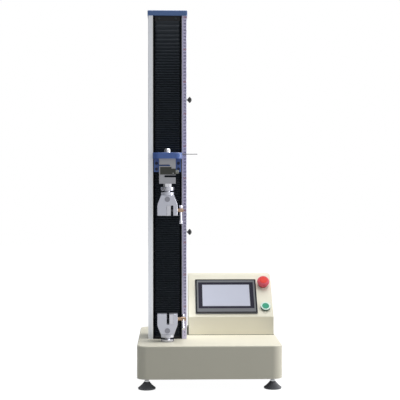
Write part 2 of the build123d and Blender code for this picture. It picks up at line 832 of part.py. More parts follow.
# Motor hanging under its shelf
with BuildPart() as drive_motor:
    with BuildSketch(Plane.XY.offset(motor_shelf_bottom_z - motor_length)):
        with Locations((motor_x, screw_y)):
            Rectangle(motor_side, motor_side)
    extrude(amount=motor_length)
    chamfer(drive_motor.edges().filter_by(Axis.Z), motor_corner_chamfer)
    with BuildSketch(Plane.XY.offset(motor_shelf_bottom_z - motor_endcap_length)):
        with Locations((motor_x, screw_y)):
            Rectangle(motor_side + overrun, motor_side + overrun)
            Rectangle(
                motor_side - 2 * motor_waist_depth,
                motor_side - 2 * motor_waist_depth,
                mode=Mode.SUBTRACT,
            )
    extrude(amount=2 * motor_endcap_length - motor_length, mode=Mode.SUBTRACT)
    with BuildSketch(Plane.XY.offset(motor_shelf_bottom_z)):
        with Locations((motor_x, screw_y)):
            Circle(motor_boss_diameter / 2)
    extrude(amount=motor_boss_height)
    with BuildSketch(Plane.XY.offset(motor_shelf_bottom_z + motor_boss_height)):
        with Locations((motor_x, screw_y)):
            Circle(motor_shaft_diameter / 2 + running_clearance)
    extrude(amount=-motor_length / 2 - motor_boss_height - wide_clearance, mode=Mode.SUBTRACT)
export_piece(drive_motor.part, "drive_motor")

# Toothed belt round both pulleys: an outer loop less the same loop one belt thickness in
with BuildPart() as drive_belt:
    with BuildSketch(Plane.XY.offset(pulley_bottom_z + (belt_pulley_height - belt_width) / 2)):
        for grow, loop_mode in ((belt_gap + belt_thickness, Mode.ADD), (belt_gap, Mode.SUBTRACT)):
            large = screw_pulley_diameter / 2 + grow
            small = motor_pulley_diameter / 2 + grow
            with BuildSketch(mode=Mode.PRIVATE) as loop:
                with Locations((column_x, screw_y)):
                    Circle(large)
                with Locations((motor_x, screw_y)):
                    Circle(small)
                make_hull()
            add(loop.sketch, mode=loop_mode)
    extrude(amount=belt_width)
export_piece(drive_belt.part, "drive_belt")

# Carriage on the rods, with the neck that reaches forward through the column's opening
with BuildPart() as carriage:
    with BuildSketch(Plane.XY.offset(carriage_bottom_z)):
        add(block_plan())
    extrude(amount=carriage_height)
    with BuildSketch(Plane.XY.offset(back_plate_bottom_z)):
        with Locations((column_x, (back_plate_back_y + block_front_y) / 2)):
            Rectangle(bellows_width, block_front_y - back_plate_back_y)
    extrude(amount=back_plate_height)
    with BuildSketch(Plane.XY.offset(carriage_bottom_z)):
        with Locations(*guide_rod_places()):
            Circle(bushing_diameter / 2 + running_clearance)
        with Locations((column_x, screw_y)):
            Circle(nut_body_diameter / 2 + running_clearance)
    extrude(amount=carriage_height, mode=Mode.SUBTRACT)
    with Locations(Plane.XZ.offset(-back_plate_back_y)):
        with Locations((column_x, arm_top_z - arm_screw_drop)):
            with GridLocations(arm_screw_spacing_x, arm_screw_spacing_z, 2, 2):
                Hole(arm_screw_diameter / 2 + running_clearance, arm_screw_grip + wide_clearance)
export_piece(carriage.part, "carriage")

# Linear bushings, one on each rod, with their two ring grooves
with BuildPart() as linear_bushings:
    with BuildSketch(Plane.XY.offset(carriage_bottom_z)):
        with Locations(*guide_rod_places()):
            Circle(bushing_diameter / 2)
            Circle(guide_rod_diameter / 2 + running_clearance, mode=Mode.SUBTRACT)
    extrude(amount=carriage_height)
    for groove_z in (
        carriage_bottom_z + bushing_groove_inset,
        carriage_bottom_z + carriage_height - bushing_groove_inset,
    ):
        with BuildSketch(Plane.XY.offset(groove_z - bushing_groove_width / 2)):
            with Locations(*guide_rod_places()):
                Circle(bushing_diameter / 2 + overrun / 2)
                Circle(bushing_diameter / 2 - bushing_groove_depth, mode=Mode.SUBTRACT)
        extrude(amount=bushing_groove_width, mode=Mode.SUBTRACT)
export_piece(linear_bushings.part, "linear_bushings")

# Ball nut with its flange under the carriage
with BuildPart() as ball_nut:
    with BuildSketch(Plane.XY.offset(carriage_bottom_z - nut_flange_thickness)):
        with Locations((column_x, screw_y)):
            Circle(nut_flange_diameter / 2)
            Rectangle(nut_flange_diameter, nut_body_diameter + 2 * bearing_ring, mode=Mode.INTERSECT)
    extrude(amount=nut_flange_thickness)
    with BuildSketch(Plane.XY.offset(carriage_bottom_z)):
        with Locations((column_x, screw_y)):
            Circle(nut_body_diameter / 2)
    extrude(amount=nut_length - nut_flange_thickness)
    with BuildSketch(Plane.XY.offset(carriage_bottom_z - nut_flange_thickness)):
        with Locations((column_x, screw_y)):
            Circle(screw_diameter / 2 + 2 * running_clearance)
    extrude(amount=nut_length, mode=Mode.SUBTRACT)
export_piece(ball_nut.part, "ball_nut")

# Crosshead arm: horizontal plate with rounded front corners on a back plate
with BuildPart() as crosshead_arm:
    with BuildSketch(Plane.XY.offset(arm_bottom_z)):
        with Locations((column_x, (arm_front_y + column_front_y - arm_face_gap) / 2)):
            front_plate = Rectangle(arm_width, column_front_y - arm_face_gap - arm_front_y)
        fillet(front_plate.vertices().group_by(Axis.Y)[0], arm_corner_radius)
        with Locations((column_x, (back_plate_back_y + back_plate_front_y) / 2)):
            Rectangle(back_plate_width, back_plate_thickness)
    extrude(amount=arm_thickness)
    with BuildSketch(Plane.XY.offset(back_plate_bottom_z)):
        with Locations((column_x, (back_plate_back_y + back_plate_front_y) / 2)):
            Rectangle(back_plate_width, back_plate_thickness)
    extrude(amount=back_plate_height - arm_thickness)
    inner_corner = (
        crosshead_arm.edges()
        .filter_by(Axis.X)
        .filter_by_position(Axis.Z, arm_bottom_z - overrun, arm_bottom_z + overrun)
        .sort_by(Axis.Y)[-1]
    )
    fillet(inner_corner, back_plate_fillet)
    chamfer(crosshead_arm.faces().sort_by(Axis.Z)[-1].edges().sort_by(Axis.Y)[:3], arm_edge_chamfer)
    with Locations(Plane.XY.offset(arm_top_z)):
        with Locations((column_x, load_axis_y)):
            Hole(cell_bolt_diameter / 2 + running_clearance, arm_thickness)
    with Locations(Plane.XZ.offset(-back_plate_front_y)):
        with Locations((column_x, arm_top_z - arm_screw_drop)):
            with GridLocations(arm_screw_spacing_x, arm_screw_spacing_z, 2, 2):
                CounterBoreHole(
                    arm_screw_diameter / 2 + running_clearance,
                    arm_screw_head_diameter / 2 + running_clearance,
                    arm_screw_head_height,
                    back_plate_thickness,
                )
    with Locations(
        Plane(
            origin=(
                column_x + arm_width / 2,
                column_front_y - arm_face_gap - pointer_setback,
                arm_top_z - pointer_drop,
            ),
            z_dir=(1, 0, 0),
        )
    ):
        Hole(pointer_diameter / 2 + running_clearance, pointer_seat)
export_piece(crosshead_arm.part, "crosshead_arm")

# S-beam load cell: block cut by one slot from each side, with a window for its gauges
cell_centre_z = arm_bottom_z - cell_height / 2
cell_upper_slot_z = arm_bottom_z - cell_upper_slot_drop
cell_lower_slot_z = arm_bottom_z - cell_height + cell_lower_slot_rise
cell_cover_z = arm_bottom_z - cell_cover_drop
cell_cover_x = column_x + (cell_width - cell_cover_width) / 2
with BuildPart() as load_cell:
    with BuildSketch(Plane.XZ.offset(cell_thickness / 2 - load_axis_y)):
        with Locations((column_x, cell_centre_z)):
            Rectangle(cell_width, cell_height)
        slot_length = cell_width / 2 + cell_slot_past_axis
        for side, slot_z, slot_height in (
            (-1, cell_upper_slot_z, cell_upper_slot_height),
            (1, cell_lower_slot_z, cell_lower_slot_height),
        ):
            with Locations((column_x + side * (cell_width - slot_length + overrun) / 2, slot_z)):
                Rectangle(slot_length + overrun, slot_height, mode=Mode.SUBTRACT)
            with Locations((column_x - side * cell_slot_past_axis, slot_z)):
                Circle(slot_height / 2, mode=Mode.SUBTRACT)
        with Locations((column_x, cell_cover_z)):
            RectangleRounded(
                cell_window_width, cell_window_height, cell_window_radius, mode=Mode.SUBTRACT
            )
    extrude(amount=-cell_thickness)
    chamfer(load_cell.edges().filter_by(Axis.Z).filter_by_position(
        Axis.X, column_x - cell_width / 2 - overrun, column_x - cell_width / 2 + overrun
    ), cell_edge_chamfer)
    with Locations(Plane.XY.offset(arm_bottom_z)):
        with Locations((column_x, load_axis_y)):
            Hole(cell_bolt_diameter / 2 + running_clearance, cell_bolt_engagement + wide_clearance)
    with Locations(Plane.XY.offset(arm_bottom_z - cell_height).reverse()):
        with Locations((column_x, -load_axis_y)):
            Hole(cell_bolt_diameter / 2 + running_clearance, cell_stud_engagement + wide_clearance)
export_piece(load_cell.part, "load_cell")

# Covers over the gauge window, front and rear, with a step at the upper right
with BuildPart() as load_cell_cover:
    for face_y, outward in (
        (load_axis_y - cell_thickness / 2, 1),
        (load_axis_y + cell_thickness / 2, -1),
    ):
        with BuildSketch(Plane.XZ.offset(-face_y)):
            with Locations((cell_cover_x, cell_cover_z)):
                Rectangle(cell_cover_width, cell_cover_height)
            with Locations(
                (
                    cell_cover_x + (cell_cover_width - cell_cover_notch_width) / 2,
                    cell_cover_z + (cell_cover_height - cell_cover_notch_height) / 2,
                )
            ):
                Rectangle(cell_cover_notch_width, cell_cover_notch_height, mode=Mode.SUBTRACT)
        extrude(amount=outward * cell_cover_thickness)
export_piece(load_cell_cover.part, "load_cell_cover")

# Cable gland on the cell's right side: hexagon, then a domed nut with its bore
with BuildPart() as cable_gland:
    with BuildSketch():
        RegularPolygon(gland_diameter / 2, 6)
    extrude(amount=gland_length - gland_dome_length)
    with BuildSketch(Plane.XY.offset(gland_length - gland_dome_length)):
        Circle(gland_diameter / 2 - gland_dome_step)
    extrude(amount=gland_dome_length)
    fillet(cable_gland.faces().sort_by(Axis.Z)[-1].edges(), gland_dome_length / 2)
    with BuildSketch():
        Circle(gland_bore / 2)
    extrude(amount=gland_length, mode=Mode.SUBTRACT)
gland_plane = Plane(
    origin=(column_x + cell_width / 2, load_axis_y, arm_bottom_z - gland_drop),
    x_dir=(0, 1, 0),
    z_dir=(1, 0, 0),
)
export_piece(cable_gland.part.moved(gland_plane.location), "cable_gland")

# Scale pointer screwed into the arm's right side
pointer_y = column_front_y - arm_face_gap - pointer_setback
pointer_z = arm_top_z - pointer_drop
arm_right_x = column_x + arm_width / 2
with BuildPart() as scale_pointer:
    with BuildSketch(Plane.YZ.offset(arm_right_x - pointer_seat)):
        with Locations((pointer_y, pointer_z)):
            Circle(pointer_diameter / 2)
    extrude(amount=column_right_x + pointer_overhang - arm_right_x + pointer_seat)
    with BuildSketch(Plane.YZ.offset(arm_right_x)):
        with Locations((pointer_y, pointer_z)):
            Circle(pointer_collar_diameter / 2)
    extrude(amount=pointer_collar_length)
export_piece(scale_pointer.part, "scale_pointer")

# Vice grips: heights run from the jaw end along the load axis, so one model serves both
grip_planes = {
    "upper": Plane(origin=(column_x, load_axis_y, upper_jaw_end_z), x_dir=(1, 0, 0), z_dir=(0, 0, 1)),
    "lower": Plane(origin=(column_x, load_axis_y, lower_jaw_end_z), x_dir=(1, 0, 0), z_dir=(0, 0, -1)),
}
grip_opening = {"upper": 0, "lower": jaw_travel}
bar_tilt = {"upper": 0, "lower": -lower_bar_tilt}
jaw_front_x = fixed_jaw_face + jaw_gap_closed
jaw_back_x = jaw_front_x + moving_jaw_thickness
slot_end_x = jaw_back_x + jaw_travel + jaw_gap_closed
boss_end = grip_length + grip_boss_length
tooth_count = int((jaw_slot_depth - jaw_tooth_pitch) / jaw_tooth_pitch)


def tooth_grooves(face_x, inward):
    """Row of V grooves across the gripping face at face_x, as a part to cut away."""
    with BuildPart() as grooves:
        with BuildSketch(Plane.XZ.offset(grip_thickness / 2 + overrun)):
            for tooth in range(tooth_count):
                tooth_height = (tooth + 1) * jaw_tooth_pitch
                with BuildLine():
                    Polyline(
                        (face_x, tooth_height - jaw_tooth_depth),
                        (face_x + inward * jaw_tooth_depth, tooth_height),
                        (face_x, tooth_height + jaw_tooth_depth),
                        close=True,
                    )
                make_face()
        extrude(amount=-grip_thickness - 2 * overrun)
    return grooves.part


with BuildPart() as grip_body:
    with BuildSketch(Plane.XZ.offset(grip_thickness / 2)):
        with BuildLine():
            Polyline(
                (-grip_width / 2, 0),
                (grip_width / 2, 0),
                (grip_width / 2, grip_shoulder),
                (grip_top_width / 2, grip_length),
                (-grip_top_width / 2, grip_length),
                (-grip_width / 2, grip_shoulder),
                close=True,
            )
        grip_face = make_face()
        fillet(
            grip_face.vertices().filter_by_position(
                Axis.Y, grip_shoulder - overrun, grip_shoulder + overrun
            ),
            grip_shoulder_radius,
        )
    extrude(amount=-grip_thickness)
    chamfer(
        grip_body.faces().filter_by(Axis.Y).edges(),
        grip_edge_chamfer,
    )
    with BuildSketch(Plane.XY.offset(grip_length)):
        Circle(grip_boss_diameter / 2)
    extrude(amount=grip_boss_length)
    with BuildSketch(Plane.XY.offset(grip_bore_floor)):
        Circle(grip_bore_diameter / 2)
    extrude(amount=boss_end - grip_bore_floor, mode=Mode.SUBTRACT)
    with BuildSketch(Plane.XZ.offset(grip_thickness / 2 + overrun)):
        with Locations(((fixed_jaw_face + slot_end_x) / 2, (jaw_slot_depth - overrun) / 2)):
            Rectangle(slot_end_x - fixed_jaw_face, jaw_slot_depth + overrun)
    extrude(amount=-grip_thickness - 2 * overrun, mode=Mode.SUBTRACT)
    with BuildSketch(Plane.XY.offset(jaw_slot_depth)):
        with Locations(((fixed_jaw_face + slot_end_x) / 2, 0)):
            Rectangle(slot_end_x - fixed_jaw_face, jaw_rib_width + 2 * sliding_clearance)
    extrude(amount=jaw_rib_height + sliding_clearance, mode=Mode.SUBTRACT)
    add(tooth_grooves(fixed_jaw_face, -1), mode=Mode.SUBTRACT)
    with Locations(Plane.XZ.offset(grip_thickness / 2)):
        with Locations((0, pin_height)):
            Hole(pin_diameter / 2 + running_clearance, grip_thickness)
    with Locations(Plane.YZ.offset(grip_width / 2)):
        with Locations((0, jaw_screw_height)):
            Hole(jaw_screw_diameter / 2 + running_clearance, grip_width / 2 - slot_end_x + overrun)

with BuildPart() as moving_jaw:
    with BuildSketch(Plane.XZ.offset(grip_thickness / 2 - jaw_side_gap)):
        with Locations((jaw_front_x + moving_jaw_thickness / 2, (jaw_slot_depth - jaw_slot_end_gap) / 2)):
            Rectangle(moving_jaw_thickness, jaw_slot_depth - jaw_slot_end_gap)
    extrude(amount=-grip_thickness + 2 * jaw_side_gap)
    with BuildSketch(Plane.XY.offset(jaw_slot_depth - jaw_slot_end_gap)):
        with Locations((jaw_front_x + moving_jaw_thickness / 2, 0)):
            Rectangle(moving_jaw_thickness, jaw_rib_width)
    extrude(amount=jaw_rib_height)
    add(tooth_grooves(jaw_front_x, 1), mode=Mode.SUBTRACT)
    with Locations(Plane.YZ.offset(jaw_back_x)):
        with Locations((0, jaw_screw_height)):
            Hole(jaw_screw_journal_diameter / 2 + running_clearance, jaw_screw_journal_depth)

with BuildPart() as grip_pin:
    with BuildSketch(Plane.XZ.offset(grip_thickness / 2)):
        with Locations((0, pin_height)):
            Circle(pin_diameter / 2)
    extrude(amount=-grip_thickness)
    for face_y, outward in ((-grip_thickness / 2, 1), (grip_thickness / 2, -1)):
        with BuildSketch(Plane.XZ.offset(-face_y)):
            with Locations((0, pin_height)):
                Circle(pin_head_diameter / 2)
        extrude(amount=outward * pin_head_thickness)

# Jaw screw about its own axis: journal in the jaw, threaded shank, brass hub with its cross hole
hub_start_x = grip_width / 2 + hub_standoff
hub_centre_x = hub_start_x + hub_length / 2
with BuildPart() as jaw_screw:
    for radius, start_x, end_x in (
        (
            jaw_screw_journal_diameter / 2,
            jaw_back_x - jaw_screw_journal_depth + sliding_clearance,
            jaw_back_x + sliding_clearance,
        ),
        (jaw_screw_diameter / 2, jaw_back_x + sliding_clearance, hub_start_x),
        (hub_diameter / 2, hub_start_x, hub_start_x + hub_length),
        (
            hub_collar_diameter / 2,
            hub_start_x + hub_length,
            hub_start_x + hub_length + hub_collar_length,
        ),
    ):
        with BuildSketch(Plane.YZ.offset(start_x)):
            Circle(radius)
        extrude(amount=end_x - start_x)
    with Locations((hub_centre_x, 0, hub_diameter / 2)):
        Hole(bar_diameter / 2 + running_clearance, hub_diameter)

# Tommy bar along its own axis, through the hub's centre, with a knob at each end
bar_top = hub_diameter / 2 + bar_knob_gap + bar_knob_length
with BuildPart() as tommy_bar:
    with BuildSketch(Plane.XY.offset(bar_top - bar_length)):
        Circle(bar_diameter / 2)
    extrude(amount=bar_length)
    for knob_bottom in (bar_top - bar_knob_length, bar_top - bar_length):
        with BuildSketch(Plane.XY.offset(knob_bottom)):
            Circle(bar_knob_diameter / 2)
        extrude(amount=bar_knob_length)
    fillet(
        tommy_bar.edges().filter_by(GeomType.CIRCLE).filter_by(
            lambda edge: edge.radius > bar_diameter / 2 + running_clearance
        ),
        (bar_knob_diameter - bar_diameter) / 2 - running_clearance,
    )

for grip_name, grip_plane in grip_planes.items():
    opening = Location((grip_opening[grip_name], 0, 0))
    export_piece(grip_body.part.moved(grip_plane.location), f"{grip_name}_grip_body")
    export_piece(grip_pin.part.moved(grip_plane.location), f"{grip_name}_grip_pin")
    export_piece(
        moving_jaw.part.moved(grip_plane.location * opening), f"{grip_name}_moving_jaw"
    )
    screw_axis = grip_plane.location * Location((grip_opening[grip_name], 0, jaw_screw_height))
    screw_turn = Location(screw_axis.position, (bar_tilt[grip_name], 0, 0))
    export_piece(jaw_screw.part.moved(screw_turn), f"{grip_name}_jaw_screw")
    export_piece(
        tommy_bar.part.moved(screw_turn * Location((hub_centre_x, 0, 0))),
        f"{grip_name}_tommy_bar",
    )

# Grip adapters: spigot in the grip's boss, thread for the lock ring, stud or flange at the far end
ring_start = {"upper": boss_end + upper_ring_gap, "lower": boss_end + lower_ring_gap}
ring_height = {"upper": upper_ring_height, "lower": lower_ring_height}
thread_start = boss_end + adapter_thread_start_gap
spigot_start = pin_height - spigot_past_pin
lower_flange_start = ring_start["lower"] + ring_height["lower"] + sliding_clearance
lower_flange_end = lower_grip_rise + base_sheet
adapter_steps = {
    "upper": (
        (adapter_thread_diameter / 2, thread_start, ring_start["upper"] + ring_height["upper"]),
        (
            cell_bolt_diameter / 2,
            ring_start["upper"] + ring_height["upper"],
            upper_grip_hang + cell_stud_engagement,
        ),
    ),
    "lower": (
        (adapter_thread_diameter / 2, thread_start, lower_flange_start),
        (lower_adapter_flange_diameter / 2, lower_flange_start, lower_flange_end),
        (
            lower_adapter_stud_diameter / 2,
            lower_flange_end,
            lower_flange_end
            + frame_plate_thickness
            + lower_adapter_nut_height
            + lower_adapter_stud_end,
        ),
    ),
}
for grip_name, grip_plane in grip_planes.items():
    with BuildPart() as grip_adapter:
        with BuildSketch(Plane.XY.offset(spigot_start)):
            Circle(spigot_diameter / 2)
        extrude(amount=thread_start - spigot_start)
        for radius, start, end in adapter_steps[grip_name]:
            with BuildSketch(Plane.XY.offset(start)):
                Circle(radius)
            extrude(amount=end - start)
        with Locations(Plane.XZ.offset(spigot_diameter / 2)):
            with Locations((0, pin_height)):
                Hole(pin_diameter / 2 + running_clearance, spigot_diameter)
    export_piece(grip_adapter.part.moved(grip_plane.location), f"{grip_name}_grip_adapter")
    with BuildPart() as lock_ring:
        with BuildSketch(Plane.XY.offset(ring_start[grip_name])):
            Circle(ring_diameter / 2)
        extrude(amount=ring_height[grip_name])
        chamfer(lock_ring.edges().filter_by(GeomType.CIRCLE), ring_chamfer)
        with BuildSketch(Plane.XY.offset(ring_start[grip_name])):
            Circle(adapter_thread_diameter / 2 + running_clearance)
            with PolarLocations(ring_diameter / 2, ring_notch_count, start_angle=180 / ring_notch_count):
                Rectangle(2 * ring_notch_depth, ring_notch_width)
        extrude(amount=ring_height[grip_name], mode=Mode.SUBTRACT)
    export_piece(lock_ring.part.moved(grip_plane.location), f"{grip_name}_lock_ring")

# Limit stops: a T nut in the side slot and a star knob on a stud that clamps it
knob_rim_start = knob_standoff + (knob_length - knob_rim_length) / 2
with BuildPart() as stop_nut:
    with BuildSketch(Plane.XY.offset(sliding_clearance - slot_mouth_depth - slot_cavity_depth)):
        Rectangle(slot_cavity - 2 * sliding_clearance, stop_block_length)
    extrude(amount=slot_cavity_depth - 2 * sliding_clearance)
    with BuildSketch(Plane.XY.offset(-slot_mouth_depth - sliding_clearance)):
        Rectangle(slot_mouth - 2 * sliding_clearance, stop_block_length)
    extrude(amount=slot_mouth_depth + 2 * sliding_clearance)
    Hole(stop_stud_diameter / 2 + running_clearance)
with BuildPart() as stop_knob:
    with BuildSketch(Plane.XZ):
        with BuildLine():
            Polyline(
                (0, knob_standoff),
                (knob_hub_diameter / 2, knob_standoff),
                (knob_diameter / 2, knob_rim_start),
                (knob_diameter / 2, knob_rim_start + knob_rim_length),
                (knob_dome_diameter / 2, knob_standoff + knob_length),
                (0, knob_standoff + knob_length),
                close=True,
            )
        make_face()
    revolve(axis=Axis.Z)
    with BuildSketch(Plane.XY.offset(knob_standoff)):
        with PolarLocations(knob_diameter / 2, knob_lobe_count):
            Circle(knob_lobe_cut_diameter / 2)
    extrude(amount=knob_length, mode=Mode.SUBTRACT)
    with BuildSketch(Plane.XY.offset(-slot_mouth_depth - slot_cavity_depth / 2)):
        Circle(stop_stud_diameter / 2)
    extrude(amount=slot_mouth_depth + slot_cavity_depth / 2 + knob_standoff)
for stop_name, stop_z in (("upper", upper_stop_height), ("lower", lower_stop_height)):
    stop_plane = Plane(origin=(column_right_x, slot_y, stop_z), x_dir=(0, 1, 0), z_dir=(1, 0, 0))
    export_piece(stop_nut.part.moved(stop_plane.location), f"{stop_name}_stop_nut")
    export_piece(stop_knob.part.moved(stop_plane.location), f"{stop_name}_stop_knob")


def socket_screw(diameter, length, head_diameter, head_height, socket_size, socket_depth):
    """Return a cylinder-head screw: head above the origin, shank below it, hexagon socket on top."""
    with BuildPart(mode=Mode.PRIVATE) as screw:
        with BuildSketch():
            Circle(head_diameter / 2)
        extrude(amount=head_height)
        chamfer(screw.edges().group_by(Axis.Z)[-1], head_height * screw_head_chamfer_share)
        with BuildSketch():
            Circle(diameter / 2)
        extrude(amount=-length)
        with BuildSketch(Plane.XY.offset(head_height)):
            RegularPolygon(socket_size / 2, 6, major_radius=False)
        extrude(amount=-socket_depth, mode=Mode.SUBTRACT)
    return screw.part


def hexagon_nut(size, height, bore_diameter):
    """Return a nut that stands on the origin's plane."""
    with BuildPart(mode=Mode.PRIVATE) as nut:
        with BuildSketch():
            RegularPolygon(size / 2, 6, major_radius=False)
            Circle(bore_diameter / 2 + running_clearance, mode=Mode.SUBTRACT)
        extrude(amount=height)
    return nut.part


# Fasteners of the crosshead: arm screws, the load cell's bolt, and the jam nut under the cell
with BuildPart() as crosshead_fasteners:
    arm_screw = socket_screw(
        arm_screw_diameter,
        back_plate_thickness - arm_screw_head_height + arm_screw_grip,
        arm_screw_head_diameter,
        arm_screw_head_height,
        arm_screw_socket,
        arm_screw_socket_depth,
    )
    with Locations(Plane.XZ.offset(-back_plate_front_y - arm_screw_head_height)):
        with Locations((column_x, arm_top_z - arm_screw_drop)):
            with GridLocations(arm_screw_spacing_x, arm_screw_spacing_z, 2, 2):
                add(arm_screw)
    cell_bolt = socket_screw(
        cell_bolt_diameter,
        arm_thickness + cell_bolt_engagement,
        cell_bolt_head_diameter,
        cell_bolt_head_height,
        cell_bolt_socket,
        cell_bolt_socket_depth,
    )
    with Locations((column_x, load_axis_y, arm_top_z)):
        add(cell_bolt)
    with Locations((column_x, load_axis_y, arm_bottom_z - cell_height - jam_nut_height)):
        add(hexagon_nut(jam_nut_size, jam_nut_height, cell_bolt_diameter))
export_piece(crosshead_fasteners.part, "crosshead_fasteners")

# Control box: folded sheet shell, open below and behind, with corner blocks for its rear panel
box_profile_points = (
    (box_front_y, base_top_z),
    (box_front_y, base_top_z + box_front_height),
    (box_front_y + box_slope_run, box_top_z),
    (box_back_y, box_top_z),
    (box_back_y, base_top_z),
)
with BuildSketch() as box_profile:
    with BuildLine():
        Polyline(*box_profile_points, close=True)
    make_face()
    front_fold = box_profile.vertices().group_by(Axis.X)[0].sort_by(Axis.Y)[-1]
    top_fold = box_profile.vertices().group_by(Axis.Y)[-1].sort_by(Axis.X)[0]
    fillet([front_fold, top_fold], box_fold_radius)
with BuildPart() as control_box_housing:
    with BuildSketch(Plane.YZ.offset(box_left_x)):
        add(box_profile.sketch)
    extrude(amount=box_width)
    seam_edges = [
        edge
        for side_face in (
            control_box_housing.faces().sort_by(Axis.X)[0],
            control_box_housing.faces().sort_by(Axis.X)[-1],
        )
        for edge in side_face.edges()
        if edge.center().Z > base_top_z + overrun and edge.center().Y < box_back_y - overrun
    ]
    fillet(seam_edges, box_seam_radius)
    with BuildSketch(Plane.YZ.offset(box_left_x + box_sheet)):
        offset(box_profile.sketch, amount=-box_sheet)
        with Locations((box_back_y, (base_top_z + box_top_z) / 2 - box_sheet / 2 - overrun / 2)):
            Rectangle(box_opening_cut, box_top_z - base_top_z - box_sheet + overrun)
        with Locations(((box_front_y + box_back_y + box_sheet + overrun) / 2, base_top_z)):
            Rectangle(box_depth - box_sheet + overrun, box_opening_cut)
    extrude(amount=box_width - 2 * box_sheet, mode=Mode.SUBTRACT)
    with BuildSketch(panel_plane):
        with Locations((hmi_centre_x, hmi_centre_u)):
            Rectangle(hmi_case_width + 2 * hmi_case_gap, hmi_case_height + 2 * hmi_case_gap)
        with Locations((stop_centre_x, stop_centre_u), (start_centre_x, start_centre_u)):
            Circle(panel_hole_diameter / 2)
    extrude(amount=2 * box_sheet, both=True, mode=Mode.SUBTRACT)
    with BuildSketch(rear_plane.offset(-rear_panel_thickness)):
        with Locations((-box_centre_x, (box_top_z - base_top_z) / 2)):
            with GridLocations(
                box_width - 2 * panel_screw_inset,
                box_top_z - base_top_z - 2 * panel_screw_inset,
                2,
                2,
            ):
                Rectangle(2 * (panel_screw_inset - box_sheet), 2 * (panel_screw_inset - box_sheet))
                Circle(panel_screw_diameter / 2 + running_clearance, mode=Mode.SUBTRACT)
    extrude(amount=-corner_block_depth)
export_piece(control_box_housing.part, "control_box_housing")

# Rear panel with its vents and the cut-out for the power inlet
with BuildPart() as control_box_rear_panel:
    with BuildSketch(rear_plane):
        with Locations((-box_centre_x, (box_top_z - base_top_z - box_sheet) / 2)):
            Rectangle(
                box_width - 2 * box_sheet - 2 * sliding_clearance,
                box_top_z - base_top_z - box_sheet - 2 * sliding_clearance,
            )
        with Locations((-box_centre_x, (box_top_z - base_top_z) / 2)):
            with GridLocations(
                box_width - 2 * panel_screw_inset,
                box_top_z - base_top_z - 2 * panel_screw_inset,
                2,
                2,
            ):
                Circle(panel_screw_diameter / 2 + sliding_clearance, mode=Mode.SUBTRACT)
        with Locations((-box_left_x - vent_centre_x, vent_centre_rise)):
            with GridLocations(vent_column_pitch, vent_pitch, vent_columns, vent_count):
                SlotOverall(vent_width, vent_height, mode=Mode.SUBTRACT)
        with Locations((-box_left_x - inlet_centre_x, inlet_centre_rise)):
            Rectangle(
                inlet_body_width + 2 * sliding_clearance,
                inlet_body_height + 2 * sliding_clearance,
                mode=Mode.SUBTRACT,
            )
    extrude(amount=-rear_panel_thickness)
export_piece(control_box_rear_panel.part, "control_box_rear_panel")

# Power inlet: flange outside, body inside, socket with three blades, and the rocker's well
inlet_location = rear_plane.location * Location((-box_left_x - inlet_centre_x, inlet_centre_rise, 0))
key_centre_w = inlet_flange_thickness - key_pivot_depth
with BuildPart() as power_inlet:
    with BuildSketch():
        RectangleRounded(inlet_flange_width, inlet_flange_height, inlet_corner_radius)
    extrude(amount=inlet_flange_thickness)
    with BuildSketch():
        Rectangle(inlet_body_width, inlet_body_height)
    extrude(amount=-inlet_body_depth)
    with BuildSketch(Plane.XY.offset(inlet_flange_thickness)):
        with Locations((0, -inlet_socket_drop)):
            RectangleRounded(inlet_socket_width, inlet_socket_height, inlet_corner_radius)
    extrude(amount=-inlet_socket_depth - inlet_flange_thickness, mode=Mode.SUBTRACT)
    with BuildSketch(Plane.XY.offset(-inlet_socket_depth)):
        with Locations((0, inlet_blade_offset - inlet_socket_drop)):
            Rectangle(inlet_blade_thickness, inlet_blade_width)
        with Locations(
            (-inlet_blade_spacing, -inlet_blade_offset - inlet_socket_drop),
            (inlet_blade_spacing, -inlet_blade_offset - inlet_socket_drop),
        ):
            Rectangle(inlet_blade_thickness, inlet_blade_width)
    extrude(amount=inlet_blade_length)
    with BuildSketch(Plane.XY.offset(inlet_flange_thickness)):
        with Locations((0, key_rise)):
            Rectangle(key_width + 2 * key_gap, key_height + 2 * key_gap)
    extrude(amount=-key_well_depth, mode=Mode.SUBTRACT)
    with BuildSketch(Plane.YZ.offset(-key_width / 2 - key_gap - key_axle_reach)):
        with Locations((key_rise, key_centre_w)):
            Circle(key_axle_diameter / 2 + running_clearance)
    extrude(amount=key_width + 2 * key_gap + 2 * key_axle_reach, mode=Mode.SUBTRACT)
export_piece(power_inlet.part.moved(inlet_location), "power_inlet")

# Rocker key on its axle, tilted to the off side
with BuildPart() as rocker_key:
    with BuildSketch(Plane.YZ.offset(-key_width / 2)):
        with BuildLine():
            Polyline(
                (-key_height / 2, -key_thickness / 2),
                (key_height / 2, -key_thickness / 2),
                (key_height / 2, key_thickness / 2),
                (0, key_thickness / 2 - key_dish),
                (-key_height / 2, key_thickness / 2),
                close=True,
            )
        make_face()
    extrude(amount=key_width)
    with BuildSketch(Plane.YZ.offset(-key_width / 2 - key_gap - key_axle_reach + sliding_clearance)):
        Circle(key_axle_diameter / 2)
    extrude(amount=key_width + 2 * (key_gap + key_axle_reach - sliding_clearance))
key_location = inlet_location * Location((0, key_rise, key_centre_w), (key_tilt, 0, 0))
export_piece(rocker_key.part.moved(key_location), "rocker_key")

